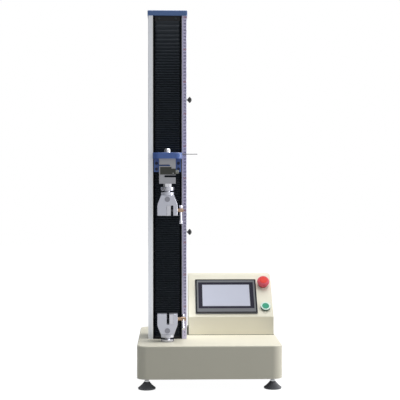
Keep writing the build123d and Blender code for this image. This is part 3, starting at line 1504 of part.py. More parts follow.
# Touch panel: bezel with its window, and the case behind the panel
hmi_location = panel_plane.location * Location((hmi_centre_x, hmi_centre_u, 0))
with BuildPart() as hmi_housing:
    with BuildSketch():
        RectangleRounded(hmi_width, hmi_height, hmi_corner_radius)
    extrude(amount=hmi_bezel_thickness)
    chamfer(hmi_housing.edges().group_by(Axis.Z)[-1], hmi_edge_chamfer)
    with BuildSketch(Plane.XY.offset(hmi_bezel_thickness)):
        with Locations((0, hmi_window_rise)):
            Rectangle(hmi_window_width, hmi_window_height)
    extrude(amount=-hmi_window_depth, mode=Mode.SUBTRACT)
    with BuildSketch():
        Rectangle(hmi_case_width, hmi_case_height)
    extrude(amount=-hmi_case_depth)
export_piece(hmi_housing.part.moved(hmi_location), "hmi_housing")
with BuildPart() as hmi_screen:
    with BuildSketch(Plane.XY.offset(hmi_bezel_thickness - hmi_window_depth)):
        with Locations((0, hmi_window_rise)):
            Rectangle(
                hmi_window_width - 2 * sliding_clearance, hmi_window_height - 2 * sliding_clearance
            )
    extrude(amount=screen_thickness)
export_piece(hmi_screen.part.moved(hmi_location), "hmi_screen")

# Emergency stop: collar with the body behind the panel, stem, and mushroom head
stop_location = panel_plane.location * Location((stop_centre_x, stop_centre_u, 0))
with BuildPart() as estop_collar:
    with BuildSketch():
        Circle(stop_collar_diameter / 2)
    extrude(amount=stop_collar_height)
    chamfer(estop_collar.edges().group_by(Axis.Z)[-1], stop_collar_chamfer)
    with BuildSketch():
        Circle(stop_body_diameter / 2)
    extrude(amount=-stop_body_depth)
    with BuildSketch(Plane.XY.offset(stop_collar_height)):
        Circle(stop_stem_diameter / 2 + sliding_clearance)
    extrude(
        amount=-stop_collar_height - stop_stem_depth - stop_press_travel - wide_clearance,
        mode=Mode.SUBTRACT,
    )
export_piece(estop_collar.part.moved(stop_location), "estop_collar")
with BuildPart() as estop_stem:
    for radius, start, end in (
        (stop_stem_diameter / 2, -stop_stem_depth, stop_head_rise - sliding_clearance),
        (
            stop_head_bore_diameter / 2 - sliding_clearance,
            stop_head_rise - sliding_clearance,
            stop_head_rise + stop_head_bore_depth - sliding_clearance,
        ),
    ):
        with BuildSketch(Plane.XY.offset(start)):
            Circle(radius)
        extrude(amount=end - start)
export_piece(estop_stem.part.moved(stop_location), "estop_stem")
with BuildPart() as estop_head:
    with BuildSketch(Plane.XY.offset(stop_head_rise)):
        Circle(stop_head_diameter / 2)
    extrude(amount=stop_head_height)
    fillet(estop_head.edges().group_by(Axis.Z)[-1], stop_head_edge)
    fillet(estop_head.edges().group_by(Axis.Z)[0], stop_head_lower_edge)
    with BuildSketch(Plane.XY.offset(stop_head_rise)):
        Circle(stop_head_bore_diameter / 2)
    extrude(amount=stop_head_bore_depth, mode=Mode.SUBTRACT)
export_piece(estop_head.part.moved(stop_location), "estop_head")

# Start button in its pale bezel
start_location = panel_plane.location * Location((start_centre_x, start_centre_u, 0))
button_top = start_bezel_height + start_button_rise
button_bottom = button_top - start_button_height
with BuildPart() as start_bezel:
    with BuildSketch():
        Circle(start_bezel_diameter / 2)
    extrude(amount=start_bezel_height)
    chamfer(start_bezel.edges().group_by(Axis.Z)[-1], start_bezel_chamfer)
    with BuildSketch():
        Circle(start_body_diameter / 2)
    extrude(amount=-start_body_depth)
    with BuildSketch(Plane.XY.offset(start_bezel_height)):
        Circle(start_button_diameter / 2 + sliding_clearance)
    extrude(
        amount=button_bottom - start_press_travel - sliding_clearance - start_bezel_height,
        mode=Mode.SUBTRACT,
    )
    with BuildSketch(Plane.XY.offset(start_bezel_height)):
        Circle(start_stem_diameter / 2 + sliding_clearance)
    extrude(
        amount=-start_bezel_height - start_stem_depth - start_press_travel - wide_clearance,
        mode=Mode.SUBTRACT,
    )
export_piece(start_bezel.part.moved(start_location), "start_bezel")
with BuildPart() as start_button:
    with BuildSketch(Plane.XY.offset(button_bottom)):
        Circle(start_button_diameter / 2)
    extrude(amount=start_button_height)
    fillet(start_button.edges().group_by(Axis.Z)[-1], start_button_edge)
    with BuildSketch(Plane.XY.offset(button_bottom)):
        Circle(start_stem_diameter / 2)
    extrude(amount=-start_stem_depth - button_bottom)
export_piece(start_button.part.moved(start_location), "start_button")

# Fasteners of the frame: cap, clamp, rear panel and bottom screws, lock nuts, and the stud's nut
cap_screw_cone_height = (cap_screw_head_diameter - cap_screw_diameter) / (
    2 * tan(radians(cap_countersink_angle / 2))
)
with BuildPart() as frame_fasteners:
    with BuildPart(mode=Mode.PRIVATE) as cap_screw:
        with Locations((0, 0, -cap_screw_cone_height / 2)):
            Cone(cap_screw_diameter / 2, cap_screw_head_diameter / 2, cap_screw_cone_height)
        with BuildSketch():
            Circle(cap_screw_diameter / 2)
        extrude(amount=-cap_screw_length)
        with BuildSketch():
            RegularPolygon(cap_screw_socket / 2, 6, major_radius=False)
        extrude(amount=-cap_screw_socket_depth, mode=Mode.SUBTRACT)
    with Locations(*[(x, y, column_top_z + cap_thickness) for x, y in screw_port_places()]):
        add(cap_screw.part)
    clamp_screw = socket_screw(
        clamp_screw_diameter,
        clamp_screw_length,
        clamp_screw_head_diameter,
        clamp_screw_head_height,
        cap_screw_socket,
        small_socket_depth,
    )
    with Locations(Plane.XZ.offset(-bellows_front_y - clamp_recess)):
        with Locations(
            (column_x - clamp_screw_spacing / 2, column_top_z - upper_clamp_height / 2),
            (column_x + clamp_screw_spacing / 2, column_top_z - upper_clamp_height / 2),
        ):
            add(clamp_screw)
    panel_screw = socket_screw(
        panel_screw_diameter,
        panel_screw_length,
        panel_screw_head_diameter,
        panel_screw_head_height,
        panel_screw_diameter,
        small_socket_depth,
    )
    with Locations(rear_plane):
        with Locations((-box_centre_x, (box_top_z - base_top_z) / 2)):
            with GridLocations(
                box_width - 2 * panel_screw_inset,
                box_top_z - base_top_z - 2 * panel_screw_inset,
                2,
                2,
            ):
                add(panel_screw)
    bottom_screw = socket_screw(
        bottom_screw_diameter,
        bottom_screw_length,
        bottom_screw_head_diameter,
        bottom_screw_head_height,
        bottom_screw_diameter,
        small_socket_depth,
    )
    with Locations(Plane.XY.offset(base_bottom_z).reverse()):
        with Locations(*[(x, -y) for x, y in bottom_screw_places]):
            add(bottom_screw)
    with Locations(*[(x, y, base_bottom_z - lock_nut_height) for x, y in foot_places.values()]):
        add(hexagon_nut(lock_nut_size, lock_nut_height, foot_stud_diameter))
    with Locations((column_x, load_axis_y, frame_plate_bottom_z - lower_adapter_nut_height)):
        add(
            hexagon_nut(
                lower_adapter_nut_size, lower_adapter_nut_height, lower_adapter_stud_diameter
            )
        )
export_piece(frame_fasteners.part, "frame_fasteners")


def bellows(bottom_z, top_z, bottom_pitch, top_pitch):
    """Return a pleated cover between two heights, its pleats growing from one pitch to the other."""
    mean_pitch = (bottom_pitch + top_pitch) / 2
    pleat_count = round((top_z - bottom_z) / mean_pitch)
    fold_points = []
    for half_pleat in range(2 * pleat_count + 1):
        part_way = half_pleat / (2 * pleat_count)
        rise = (bottom_pitch * part_way + (top_pitch - bottom_pitch) * part_way**2 / 2) / mean_pitch
        fold_y = bellows_front_y + (half_pleat % 2) * (bellows_depth - bellows_sheet)
        fold_points.append((fold_y, bottom_z + rise * (top_z - bottom_z)))
    back_points = [(y + bellows_sheet, z) for y, z in reversed(fold_points)]
    with BuildPart(mode=Mode.PRIVATE) as cover:
        with BuildSketch(Plane.YZ.offset(column_x - bellows_width / 2)):
            with BuildLine():
                Polyline(*fold_points, *back_points, close=True)
            make_face()
        extrude(amount=bellows_width)
    return cover.part


# Upper and lower bellows, which cover the column's opening on both sides of the crosshead
export_piece(
    bellows(
        arm_top_z + sliding_clearance,
        column_top_z - upper_clamp_height - sliding_clearance,
        upper_bellows_bottom_pitch,
        upper_bellows_top_pitch,
    ),
    "upper_bellows",
)
export_piece(
    bellows(
        base_top_z + lower_clamp_height + sliding_clearance,
        back_plate_bottom_z - sliding_clearance,
        lower_bellows_bottom_pitch,
        lower_bellows_top_pitch,
    ),
    "lower_bellows",
)
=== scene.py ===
"""Visual model of a single-column benchtop universal testing machine.

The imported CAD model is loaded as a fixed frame, in metres. A table gives the CAD nodes their
finishes, and each class below dresses one sub-assembly: it adds what the photograph shows beyond
them, such as the pleats of the bellows, the graduations of the scale tape and the screen.
"""

from __future__ import annotations

import logging
import math
from dataclasses import dataclass, replace
from enum import Enum
from typing import Callable, Sequence

import bmesh
import bpy
from mathutils import Matrix, Vector

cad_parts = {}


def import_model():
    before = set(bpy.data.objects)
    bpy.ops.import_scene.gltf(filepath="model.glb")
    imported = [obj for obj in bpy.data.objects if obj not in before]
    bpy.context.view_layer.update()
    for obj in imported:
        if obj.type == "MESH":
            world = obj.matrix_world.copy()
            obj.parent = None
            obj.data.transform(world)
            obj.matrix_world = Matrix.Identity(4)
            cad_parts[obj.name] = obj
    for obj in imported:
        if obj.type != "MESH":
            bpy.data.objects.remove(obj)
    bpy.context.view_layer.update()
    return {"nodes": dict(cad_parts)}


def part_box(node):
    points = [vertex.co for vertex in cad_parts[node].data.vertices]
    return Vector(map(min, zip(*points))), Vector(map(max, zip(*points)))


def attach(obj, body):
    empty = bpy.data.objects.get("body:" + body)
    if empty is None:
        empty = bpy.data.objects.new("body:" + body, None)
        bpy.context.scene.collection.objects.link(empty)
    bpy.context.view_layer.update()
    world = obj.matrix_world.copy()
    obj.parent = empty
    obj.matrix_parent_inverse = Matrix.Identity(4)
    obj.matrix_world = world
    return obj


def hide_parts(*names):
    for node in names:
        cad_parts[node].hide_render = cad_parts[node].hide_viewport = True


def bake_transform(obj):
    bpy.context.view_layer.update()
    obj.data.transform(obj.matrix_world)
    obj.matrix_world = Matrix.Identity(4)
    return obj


log = logging.getLogger("testing_machine")

Mesh = bpy.types.Mesh
Piece = bpy.types.Object
Nodes = dict[str, Piece]
Socket = bpy.types.NodeSocket
Tree = bpy.types.NodeTree
Work = bmesh.types.BMesh
Pair = tuple[float, float]
Point = tuple[float, float, float]
# A direction, and how far along it from the frame's origin the plane lies, in metres
Plane = tuple[Point, float]

MM = 0.001
FRAME_BODY = "frame"
CROSSHEAD_BODY = "crosshead"
GRIPS = ("upper", "lower")

RIGHT: Point = (1.0, 0.0, 0.0)
LEFT: Point = (-1.0, 0.0, 0.0)
BACK: Point = (0.0, 1.0, 0.0)
FRONT: Point = (0.0, -1.0, 0.0)
UP: Point = (0.0, 0.0, 1.0)
DOWN: Point = (0.0, 0.0, -1.0)

WHITE = (1.0, 1.0, 1.0, 1.0)
FLOAT = "NodeSocketFloat"
INTEGER = "NodeSocketInt"
VECTOR = "NodeSocketVector"
MATHS = "ShaderNodeMath"
# Its sockets go by number. The share goes in at 0, and either two numbers at 2 and 3, with the one
# between them coming out at 0, or two colours at 6 and 7, with the one between coming out at 2.
MIX = "ShaderNodeMix"
# The smoothest that a finish's roughness may swing to
LEAST_ROUGHNESS = 0.02
# Points that lie closer than this are one, in metres
MERGE = 1e-6


def linear(hex_colour: str) -> tuple[float, float, float, float]:
    """Turn an sRGB hex colour into linear light.

    Args:
        hex_colour: Six hex digits after a hash sign.

    Returns:
        Linear red, green, blue, and an alpha of 1.
    """
    channels = [int(hex_colour[i : i + 2], 16) / 255 for i in (1, 3, 5)]
    light = [c / 12.92 if c <= 0.04045 else ((c + 0.055) / 1.055) ** 2.4 for c in channels]
    return (light[0], light[1], light[2], 1.0)


def add_node(
    tree: Tree, kind: str, inputs: dict | None = None, **settings
) -> bpy.types.NodeOutputs:
    """Add one node with its settings, values and links.

    Args:
        tree: The shader or geometry tree that gets the node.
        kind: Blender's type name of the node.
        inputs: Socket name or index to a value, or to an output socket to link from.
        settings: Attributes of the node itself.

    Returns:
        The new node's outputs.
    """
    node = tree.nodes.new(kind)
    for attribute, value in settings.items():
        setattr(node, attribute, value)
    for socket, value in (inputs or {}).items():
        if isinstance(value, Socket):
            tree.links.new(value, node.inputs[socket])
        else:
            node.inputs[socket].default_value = value
    return node.outputs


def empty_tree(owner: bpy.types.Material | bpy.types.World) -> Tree:
    """Switch nodes on.

    Args:
        owner: The material or world.

    Returns:
        Its tree, with nothing in it.
    """
    owner.use_nodes = True
    owner.node_tree.nodes.clear()
    return owner.node_tree


def add_object(name: str, data: bpy.types.ID) -> Piece:
    """Put data into the scene.

    Args:
        name: The object's name.
        data: What it shows.

    Returns:
        The object, at the origin.
    """
    made = bpy.data.objects.new(name, data)
    bpy.context.scene.collection.objects.link(made)
    return made


def evaluated(piece: Piece) -> Mesh:
    """Return a piece's mesh as its modifiers leave it."""
    seen = piece.evaluated_get(bpy.context.evaluated_depsgraph_get())
    return bpy.data.meshes.new_from_object(seen)


class Grain(Enum):
    """How a surface's fine pattern is stretched along X, Y and Z."""

    EVEN = (1.0, 1.0, 1.0)
    DRAWN_UP = (1.0, 1.0, 0.04)
    BRUSHED_ACROSS = (0.05, 1.0, 1.0)
    TURNED = (1.0, 1.0, 6.0)


@dataclass(frozen=True)
class Zone:
    """A part of a piece, past one or more planes, that has another colour and surface."""

    planes: tuple[Plane, ...]
    colour: str
    roughness: float
    metallic: float = 0.0

    def inside(self, tree: Tree, place: Socket) -> Socket:
        """Tell the zone from the rest of the piece.

        Args:
            tree: The shader tree.
            place: The shaded point, in the frame's metres.

        Returns:
            1 past all the planes, and 0 elsewhere.
        """
        product: Socket | float = 1.0
        for direction, distance in self.planes:
            along = add_node(
                tree, "ShaderNodeVectorMath", {0: place, 1: direction}, operation="DOT_PRODUCT"
            )["Value"]
            past = add_node(tree, MATHS, {0: along, 1: distance}, operation="GREATER_THAN")[0]
            product = add_node(tree, MATHS, {0: product, 1: past}, operation="MULTIPLY")[0]
        return product


@dataclass(frozen=True)
class Finish:
    """One real surface finish, built as a procedural material."""

    name: str
    colour: str
    roughness: float
    metallic: float = 0.0
    grain: Grain = Grain.EVEN
    grain_mm: float = 1.0
    relief_mm: float = 0.01
    mottle: float = 0.04
    mottle_mm: float = 70.0
    roughness_swing: float = 0.05
    streaks: float = 0.0
    specular: float = 0.5
    coat: float = 0.0
    coat_roughness: float = 0.1
    zones: tuple[Zone, ...] = ()

    def shades(self, colour: str) -> list[tuple[float, ...]]:
        """Return the darker and the lighter shade that the mottle moves between."""
        scales = (1 - self.mottle, 1 + self.mottle)
        return [(*(min(c * scale, 1.0) for c in linear(colour)[:3]), 1.0) for scale in scales]

    def material(self) -> bpy.types.Material:
        """Build the material, or return it if it is there already.

        Returns:
            A material with a Principled surface that reads Object coordinates.
        """
        # The frame brings plain materials of its own, some of them under the same plain names
        own_name = f"{self.name}_finish"
        found = bpy.data.materials.get(own_name)
        if found:
            return found
        made = bpy.data.materials.new(own_name)
        tree = empty_tree(made)
        place = add_node(tree, "ShaderNodeTexCoord")["Object"]
        stretched = add_node(
            tree, "ShaderNodeMapping", {"Vector": place, "Scale": self.grain.value}
        )["Vector"]
        # The fine pattern has more layers in it than the broad one
        fine, broad = (
            add_node(
                tree, "ShaderNodeTexNoise",
                {"Vector": where, "Scale": 1 / (size * MM), "Detail": detail, "Roughness": fading},
            )["Fac"]
            for where, size, detail, fading in (
                (stretched, self.grain_mm, 3.0, 0.55), (place, self.mottle_mm, 2.0, 0.5)
            )
        )
        pattern = add_node(tree, MIX, {0: self.streaks, 2: broad, 3: fine})[0]
        dark, light = self.shades(self.colour)
        colour = add_node(tree, MIX, {0: pattern, 6: dark, 7: light}, data_type="RGBA")[2]
        least = max(self.roughness - self.roughness_swing, LEAST_ROUGHNESS)
        most = min(self.roughness + self.roughness_swing, 1.0)
        spans = {"Value": fine, "To Min": least, "To Max": most}
        roughness = add_node(tree, "ShaderNodeMapRange", spans)["Result"]
        metallic: Socket | float = self.metallic
        for zone in self.zones:
            inside = zone.inside(tree, place)
            dark, light = self.shades(zone.colour)
            other = add_node(tree, MIX, {0: pattern, 6: dark, 7: light}, data_type="RGBA")[2]
            colour = add_node(tree, MIX, {0: inside, 6: colour, 7: other}, data_type="RGBA")[2]
            roughness = add_node(tree, MIX, {0: inside, 2: roughness, 3: zone.roughness})[0]
            metallic = add_node(tree, MIX, {0: inside, 2: metallic, 3: zone.metallic})[0]
        bumps = {"Height": fine, "Distance": self.relief_mm * MM, "Strength": 1.0}
        relief = add_node(tree, "ShaderNodeBump", bumps)["Normal"]
        surface = add_node(
            tree, "ShaderNodeBsdfPrincipled",
            {
                "Base Color": colour, "Roughness": roughness, "Metallic": metallic,
                "Normal": relief, "Specular IOR Level": self.specular,
                "Coat Weight": self.coat, "Coat Roughness": self.coat_roughness,
            },
        )["BSDF"]
        add_node(tree, "ShaderNodeOutputMaterial", {"Surface": surface})
        return made


# Polyester powder coat, baked: satin, with orange peel drawn 3 mm wide so that it shows
CREAM_COAT = Finish(
    "cream_powder_coat", "#f4eeda", 0.5, grain_mm=3.0, relief_mm=0.02, mottle=0.02, specular=0.3
)
# Primer brushed on the hidden steel: flat and dark
PRIMER = Finish("black_primer", "#2e2e30", 0.7, grain_mm=2.0, relief_mm=0.03)
# Clear-anodised extrusion: the die leaves pale and dark lines up its length. The channel behind the
# lips is painted near black as painted shade, so the slits beside the bellows look dark, and a
# narrow band on the left lip's front is painted white as a painted highlight.
ANODISED = Finish(
    "clear_anodised_extrusion", "#e9ecf6", 0.4, metallic=0.85, grain=Grain.DRAWN_UP, grain_mm=2.2,
    mottle=0.16, streaks=0.8,
    zones=(
        # Painted shade: the inside of the channel, behind the lips, near black
        Zone(((RIGHT, -0.1811), (LEFT, 0.0729), (BACK, -0.066), (FRONT, -0.041)), "#141417", 0.7),
        # Painted highlight: a narrow white band on the left lip's front
        Zone(((RIGHT, -0.1752), (LEFT, 0.1715), (FRONT, 0.066)), "#ffffff", 0.3, 0.6),
    ),
)
# Oven-dried enamel on machined aluminium: deep blue with a clear gloss
BLUE_ENAMEL = Finish(
    "blue_enamel", "#4f74c2", 0.34, grain_mm=4.0, relief_mm=0.02, mottle=0.06, coat=0.5,
    coat_roughness=0.15,
)
# The cap's copy of the arm's blue, made greyer as painted shading for where it sits, and more matt,
# as it lies above the lights' glare
BLUE_CAP = Finish("blue_enamel_cap", "#5e7bb0", 0.45, grain_mm=4.0, relief_mm=0.02, mottle=0.05)
# Printed polyester film: smooth, faintly lilac
TAPE_FILM = Finish("printed_tape_film", "#e4dcf9", 0.45, grain_mm=6.0, relief_mm=0.004, mottle=0.03)
# Screen-printed numbers, a thin dry ink: flat on the film's soft sheen
TAPE_INK = Finish("tape_ink", "#726d9c", 0.6, relief_mm=0.002)
# The millimetre bars are printed finer and paler than the numbers
TAPE_FINE_INK = Finish("tape_fine_ink", "#c6c0e2", 0.5, relief_mm=0.002)
# The tens are printed in a second ink, a dull red
TAPE_RED_INK = Finish("tape_red_ink", "#a65f7c", 0.5, relief_mm=0.002)
# Ground and hardened shaft steel: it mirrors in fine rings
GROUND_STEEL = Finish(
    "ground_steel", "#c4c6c9", 0.2, metallic=1.0, grain=Grain.TURNED, grain_mm=2.0, relief_mm=0.003
)
# Milled aluminium, dyed black and anodised: dull, with a faint sheen of its own
BLACK_ANODISED = Finish("black_anodised", "#1e1f23", 0.45, metallic=0.3)
# Aluminium as the cutter left it: fine marks that run across
MACHINED = Finish(
    "machined_aluminium", "#c2c4c8", 0.35, metallic=1.0, grain=Grain.BRUSHED_ACROSS, grain_mm=0.8
)
# Ground and honed rings: the smoothest metal here
BEARING = Finish("bearing_steel", "#b4b6ba", 0.18, metallic=1.0, grain=Grain.TURNED)
# Enamel sprayed on the motor's casting: half gloss, slightly rippled
MOTOR_BLACK = Finish("motor_enamel", "#202022", 0.4, grain_mm=2.0, relief_mm=0.02)
# Moulded neoprene, dusted to leave its mould: flat black
BELT_RUBBER = Finish("belt_neoprene", "#1a1a1a", 0.75, relief_mm=0.05)
# Polyurethane-coated cloth: black with a dull sheen, its weave drawn 1.2 mm wide
BELLOWS_CLOTH = Finish(
    "bellows_coated_cloth", "#2d333a", 0.6, grain_mm=1.2, relief_mm=0.05, mottle=0.15,
    mottle_mm=30.0, specular=0.35,
)
# Steel plated with zinc and passivated: pale and a little cloudy
ZINC = Finish("zinc_plated_steel", "#c0c2c4", 0.3, metallic=1.0, relief_mm=0.006)
# The same screws, but black oxide where they hold the bellows' clamp bar at the column's top
ZINC_AND_BLACK = replace(
    ZINC, name="zinc_and_black_oxide_screws",
    zones=(Zone(((UP, 1.09), (DOWN, -1.14), (FRONT, 0.05)), "#3a4448", 0.5, 0.3),),
)
# Nickel-plated block, brushed across before plating
CELL_NICKEL = Finish(
    "load_cell_nickel", "#a5a6ab", 0.42, metallic=0.75, grain=Grain.BRUSHED_ACROSS, grain_mm=0.9,
    relief_mm=0.02, mottle=0.06,
)
# Painted plate over the cell's gauges: flat olive grey, slightly uneven
CELL_COVER = Finish("load_cell_cover", "#45463f", 0.55, relief_mm=0.03, mottle=0.08)
# Moulded nylon: smooth, with a waxy sheen
GLAND_NYLON = Finish("gland_nylon", "#a6a89f", 0.45)
# Cold-drawn wire: bright where it mirrors a lamp and grey elsewhere
BRIGHT_WIRE = Finish("bright_wire", "#77777d", 0.25, metallic=1.0, relief_mm=0.003)
# Hard chrome over turned steel: bright, with faint rings from the lathe
PLATED = Finish(
    "satin_chrome", "#c2c3cc", 0.22, metallic=1.0, grain=Grain.TURNED, grain_mm=1.2, relief_mm=0.006
)
# Nickel-plated casting, blasted first: pale and even
GRIP_NICKEL = Finish("grip_satin_nickel", "#cbcdd8", 0.42, metallic=0.7, relief_mm=0.02)
# Jaw steel, hardened and ground: pale, with a little less shine than the chrome
JAW_STEEL = Finish(
    "hardened_jaw_steel", "#cfd0d8", 0.4, metallic=0.85, grain_mm=0.8, relief_mm=0.02
)
# Pressed-in pin, turned end: darker than the blasted casting round it
PIN_STEEL = Finish("grip_pin_steel", "#8e8f98", 0.38, metallic=0.9, grain_mm=0.8)
# Brass as turned: its rings catch the light, and it has gone a little brown
BRASS = Finish("turned_brass", "#a8907a", 0.32, metallic=1.0, grain=Grain.TURNED, relief_mm=0.006)
# Polished chrome on the tommy bars: the grips' brightest part
BAR_CHROME = Finish("bar_chrome", "#dcdce6", 0.2, metallic=1.0, grain_mm=1.5, relief_mm=0.002)
# Pressed phenolic: half-matt black
KNOB_PHENOLIC = Finish("knob_phenolic", "#1c1c1e", 0.5, relief_mm=0.02)
# Moulded ABS bezel with a fine spark-eroded texture
BEZEL_ABS = Finish(
    "bezel_abs", "#77787c", 0.6, grain_mm=0.8, relief_mm=0.02, mottle=0.03, specular=0.12
)
# Flat black that mirrors almost nothing: the box's seal, the rim round the bezel's top edge and the
# plate at the foot of the box's left wall
RIM_BLACK = Finish("flat_black", "#1a1b1d", 0.7, relief_mm=0.02, specular=0.1)
# Moulded ABS round the screen, of the bezel's texture: matt dark violet grey
FRAME_DARK = Finish("screen_frame_abs", "#2b2936", 0.6, grain_mm=0.8, specular=0.1)
# Matt anti-glare film over an idle screen: pale lilac grey, and it mirrors nothing
DISPLAY = Finish(
    "display_film", "#c8cad8", 0.6, grain_mm=5.0, relief_mm=0.002, mottle=0.02, specular=0.15
)
# The stop's collar is moulded from the head's red, made a little darker as painted shade under the
# head
COLLAR = Finish("collar_moulding", "#a82a28", 0.5, specular=0.2)
# Moulded nylon stem under the head: half-matt black
STEM_BLACK = Finish("stem_moulding", "#202022", 0.45)
# Moulded lens over an unlit lamp: its green is cloudy over a few millimetres
START_GREEN = Finish(
    "start_green_lens", "#45a685", 0.45, grain_mm=1.5, mottle=0.08, mottle_mm=8.0, specular=0.1
)
# Moulded polyamide inlet: black, finely textured
INLET_BLACK = Finish("inlet_moulding", "#1b1b1c", 0.5, relief_mm=0.02)
# The rocker's key comes from a polished mould, so it shines
KEY_BLACK = Finish("rocker_moulding", "#232325", 0.25, grain_mm=1.5, relief_mm=0.005)

# The CAD nodes of one finish all over. The sub-assemblies paint the rest themselves.
FINISHED_NODES: dict[Finish, tuple[str, ...]] = {
    CREAM_COAT: ("base_cover", "control_box_housing", "control_box_rear_panel"),
    PRIMER: ("base_bottom_plate", "base_frame"),
    ANODISED: ("column_profile",),
    BLUE_CAP: ("column_cap",),
    BLUE_ENAMEL: ("crosshead_arm",),
    TAPE_FILM: ("scale_tape",),
    GROUND_STEEL: ("guide_rods", "ball_screw", "motor_rotor", "ball_nut"),
    BLACK_ANODISED: ("lower_bearing_block", "upper_bearing_block", "carriage"),
    MACHINED: ("screw_pulley",),
    BEARING: ("screw_bearings", "linear_bushings"),
    MOTOR_BLACK: ("drive_motor",),
    BELT_RUBBER: ("drive_belt",),
    ZINC_AND_BLACK: ("frame_fasteners",),
    ZINC: ("upper_stop_nut", "lower_stop_nut"),
    CELL_NICKEL: ("load_cell",),
    CELL_COVER: ("load_cell_cover",),
    GLAND_NYLON: ("cable_gland",),
    BRIGHT_WIRE: ("scale_pointer",),
    PLATED: ("upper_grip_adapter", "lower_grip_adapter", "upper_lock_ring", "lower_lock_ring"),
    GRIP_NICKEL: ("upper_grip_body", "lower_grip_body"),
    PIN_STEEL: ("upper_grip_pin", "lower_grip_pin"),
    JAW_STEEL: ("upper_moving_jaw", "lower_moving_jaw"),
    BAR_CHROME: ("upper_tommy_bar", "lower_tommy_bar"),
    KNOB_PHENOLIC: ("upper_stop_knob", "lower_stop_knob"),
    BEZEL_ABS: ("hmi_housing",),
    COLLAR: ("estop_collar",),
    STEM_BLACK: ("estop_stem",),
    START_GREEN: ("start_button",),
    INLET_BLACK: ("power_inlet",),
    KEY_BLACK: ("rocker_key",),
}


def paint(node: Piece, finish: Finish) -> None:
    """Give a CAD node one finish all over.

    Args:
        node: The node.
        finish: Its finish.
    """
    node.data.materials.clear()
    node.data.materials.append(finish.material())
    log.info("node %s in %s", node.name, finish.name)


def settle(name: str, mesh: Mesh, body: str, finish: Finish | None = None) -> Piece:
    """Make a finished piece of a mesh that is already in place.

    Args:
        name: The piece's name.
        mesh: Its mesh, in the frame's metres.
        body: The body that it rides on.
        finish: Its finish, unless the mesh has its material already.

    Returns:
        The new object.
    """
    piece = add_object(name, mesh)
    if finish:
        mesh.materials.clear()
        mesh.materials.append(finish.material())
    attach(piece, body)
    log.info("piece %s on %s, %d faces", name, body, len(mesh.polygons))
    return piece


def mesh_from(name: str, build: Callable[[Work], None], place: Matrix | None = None) -> Mesh:
    """Run a bmesh recipe and return its mesh.

    Args:
        name: The mesh's name.
        build: A function that fills the empty bmesh.
        place: Where the recipe's own origin and axes lie in the frame.

    Returns:
        A mesh with outward normals.
    """
    work = bmesh.new()
    build(work)
    bmesh.ops.remove_doubles(work, verts=work.verts, dist=MERGE)
    bmesh.ops.recalc_face_normals(work, faces=work.faces)
    if place:
        work.transform(place)
    mesh = bpy.data.meshes.new(name)
    work.to_mesh(mesh)
    work.free()
    return mesh


def lathe(work: Work, profile: Sequence[Pair], steps: int) -> None:
    """Turn a profile about Z.

    Args:
        work: The bmesh to fill.
        profile: Points of radius and height, with both ends on the axis or closed.
        steps: Faces round the axis.
    """
    corners = [work.verts.new((radius, 0.0, height)) for radius, height in profile]
    edges = [work.edges.new(pair) for pair in zip(corners, corners[1:])]
    bmesh.ops.spin(
        work, geom=corners + edges, cent=(0, 0, 0), axis=(0, 0, 1), angle=math.tau, steps=steps,
        use_merge=True,
    )


def block(work: Work, size: Sequence[float]) -> None:
    """Fill in a box of this size in metres, round the origin."""
    bmesh.ops.create_cube(work, size=1.0)
    bmesh.ops.scale(work, vec=size, verts=work.verts)


def smooth(mesh: Mesh, angle_deg: float = 35.0) -> None:
    """Shade a mesh smooth, apart from edges that turn by more than the angle."""
    mesh.polygons.foreach_set("use_smooth", [True] * len(mesh.polygons))
    mesh.set_sharp_from_angle(angle=math.radians(angle_deg))


class RuledPiece:
    """A Geometry Nodes tree with named inputs, whose result becomes a plain mesh."""

    def __init__(self, name: str, finish: Finish, inputs: dict[str, str]) -> None:
        """Start an empty tree.

        Args:
            name: The tree's name.
            finish: The finish of what it makes.
            inputs: Input name to socket type.
        """
        self.finish = finish
        self.tree = bpy.data.node_groups.new(f"{name}_{finish.name}", "GeometryNodeTree")
        self.identifiers: dict[str, str] = {}
        interface = self.tree.interface
        for label, kind in inputs.items():
            socket = interface.new_socket(label, in_out="INPUT", socket_type=kind)
            self.identifiers[label] = socket.identifier
        interface.new_socket("Geometry", in_out="OUTPUT", socket_type="NodeSocketGeometry")
        self.given = add_node(self.tree, "NodeGroupInput")

    def end_with(self, geometry: Socket) -> None:
        """End the tree with real geometry in its finish.

        Args:
            geometry: What the tree has made.
        """
        tree = self.tree
        real = add_node(tree, "GeometryNodeRealizeInstances", {"Geometry": geometry})["Geometry"]
        dressed = {"Geometry": real, "Material": self.finish.material()}
        ended = add_node(tree, "GeometryNodeSetMaterial", dressed)["Geometry"]
        add_node(tree, "NodeGroupOutput", {"Geometry": ended})

    def mesh(self, name: str, values: dict) -> Mesh:
        """Run the tree with these values.

        Args:
            name: The result's name.
            values: Input name to value.

        Returns:
            The result as a plain mesh.
        """
        carrier = add_object(name, bpy.data.meshes.new(name + "_carrier"))
        modifier = carrier.modifiers.new("rule", "NODES")
        modifier.node_group = self.tree
        for label, value in values.items():
            modifier[self.identifiers[label]] = value
        bpy.context.view_layer.update()
        result = evaluated(carrier)
        result.name = name
        carrier.modifiers.remove(modifier)
        bpy.data.objects.remove(carrier)
        return result


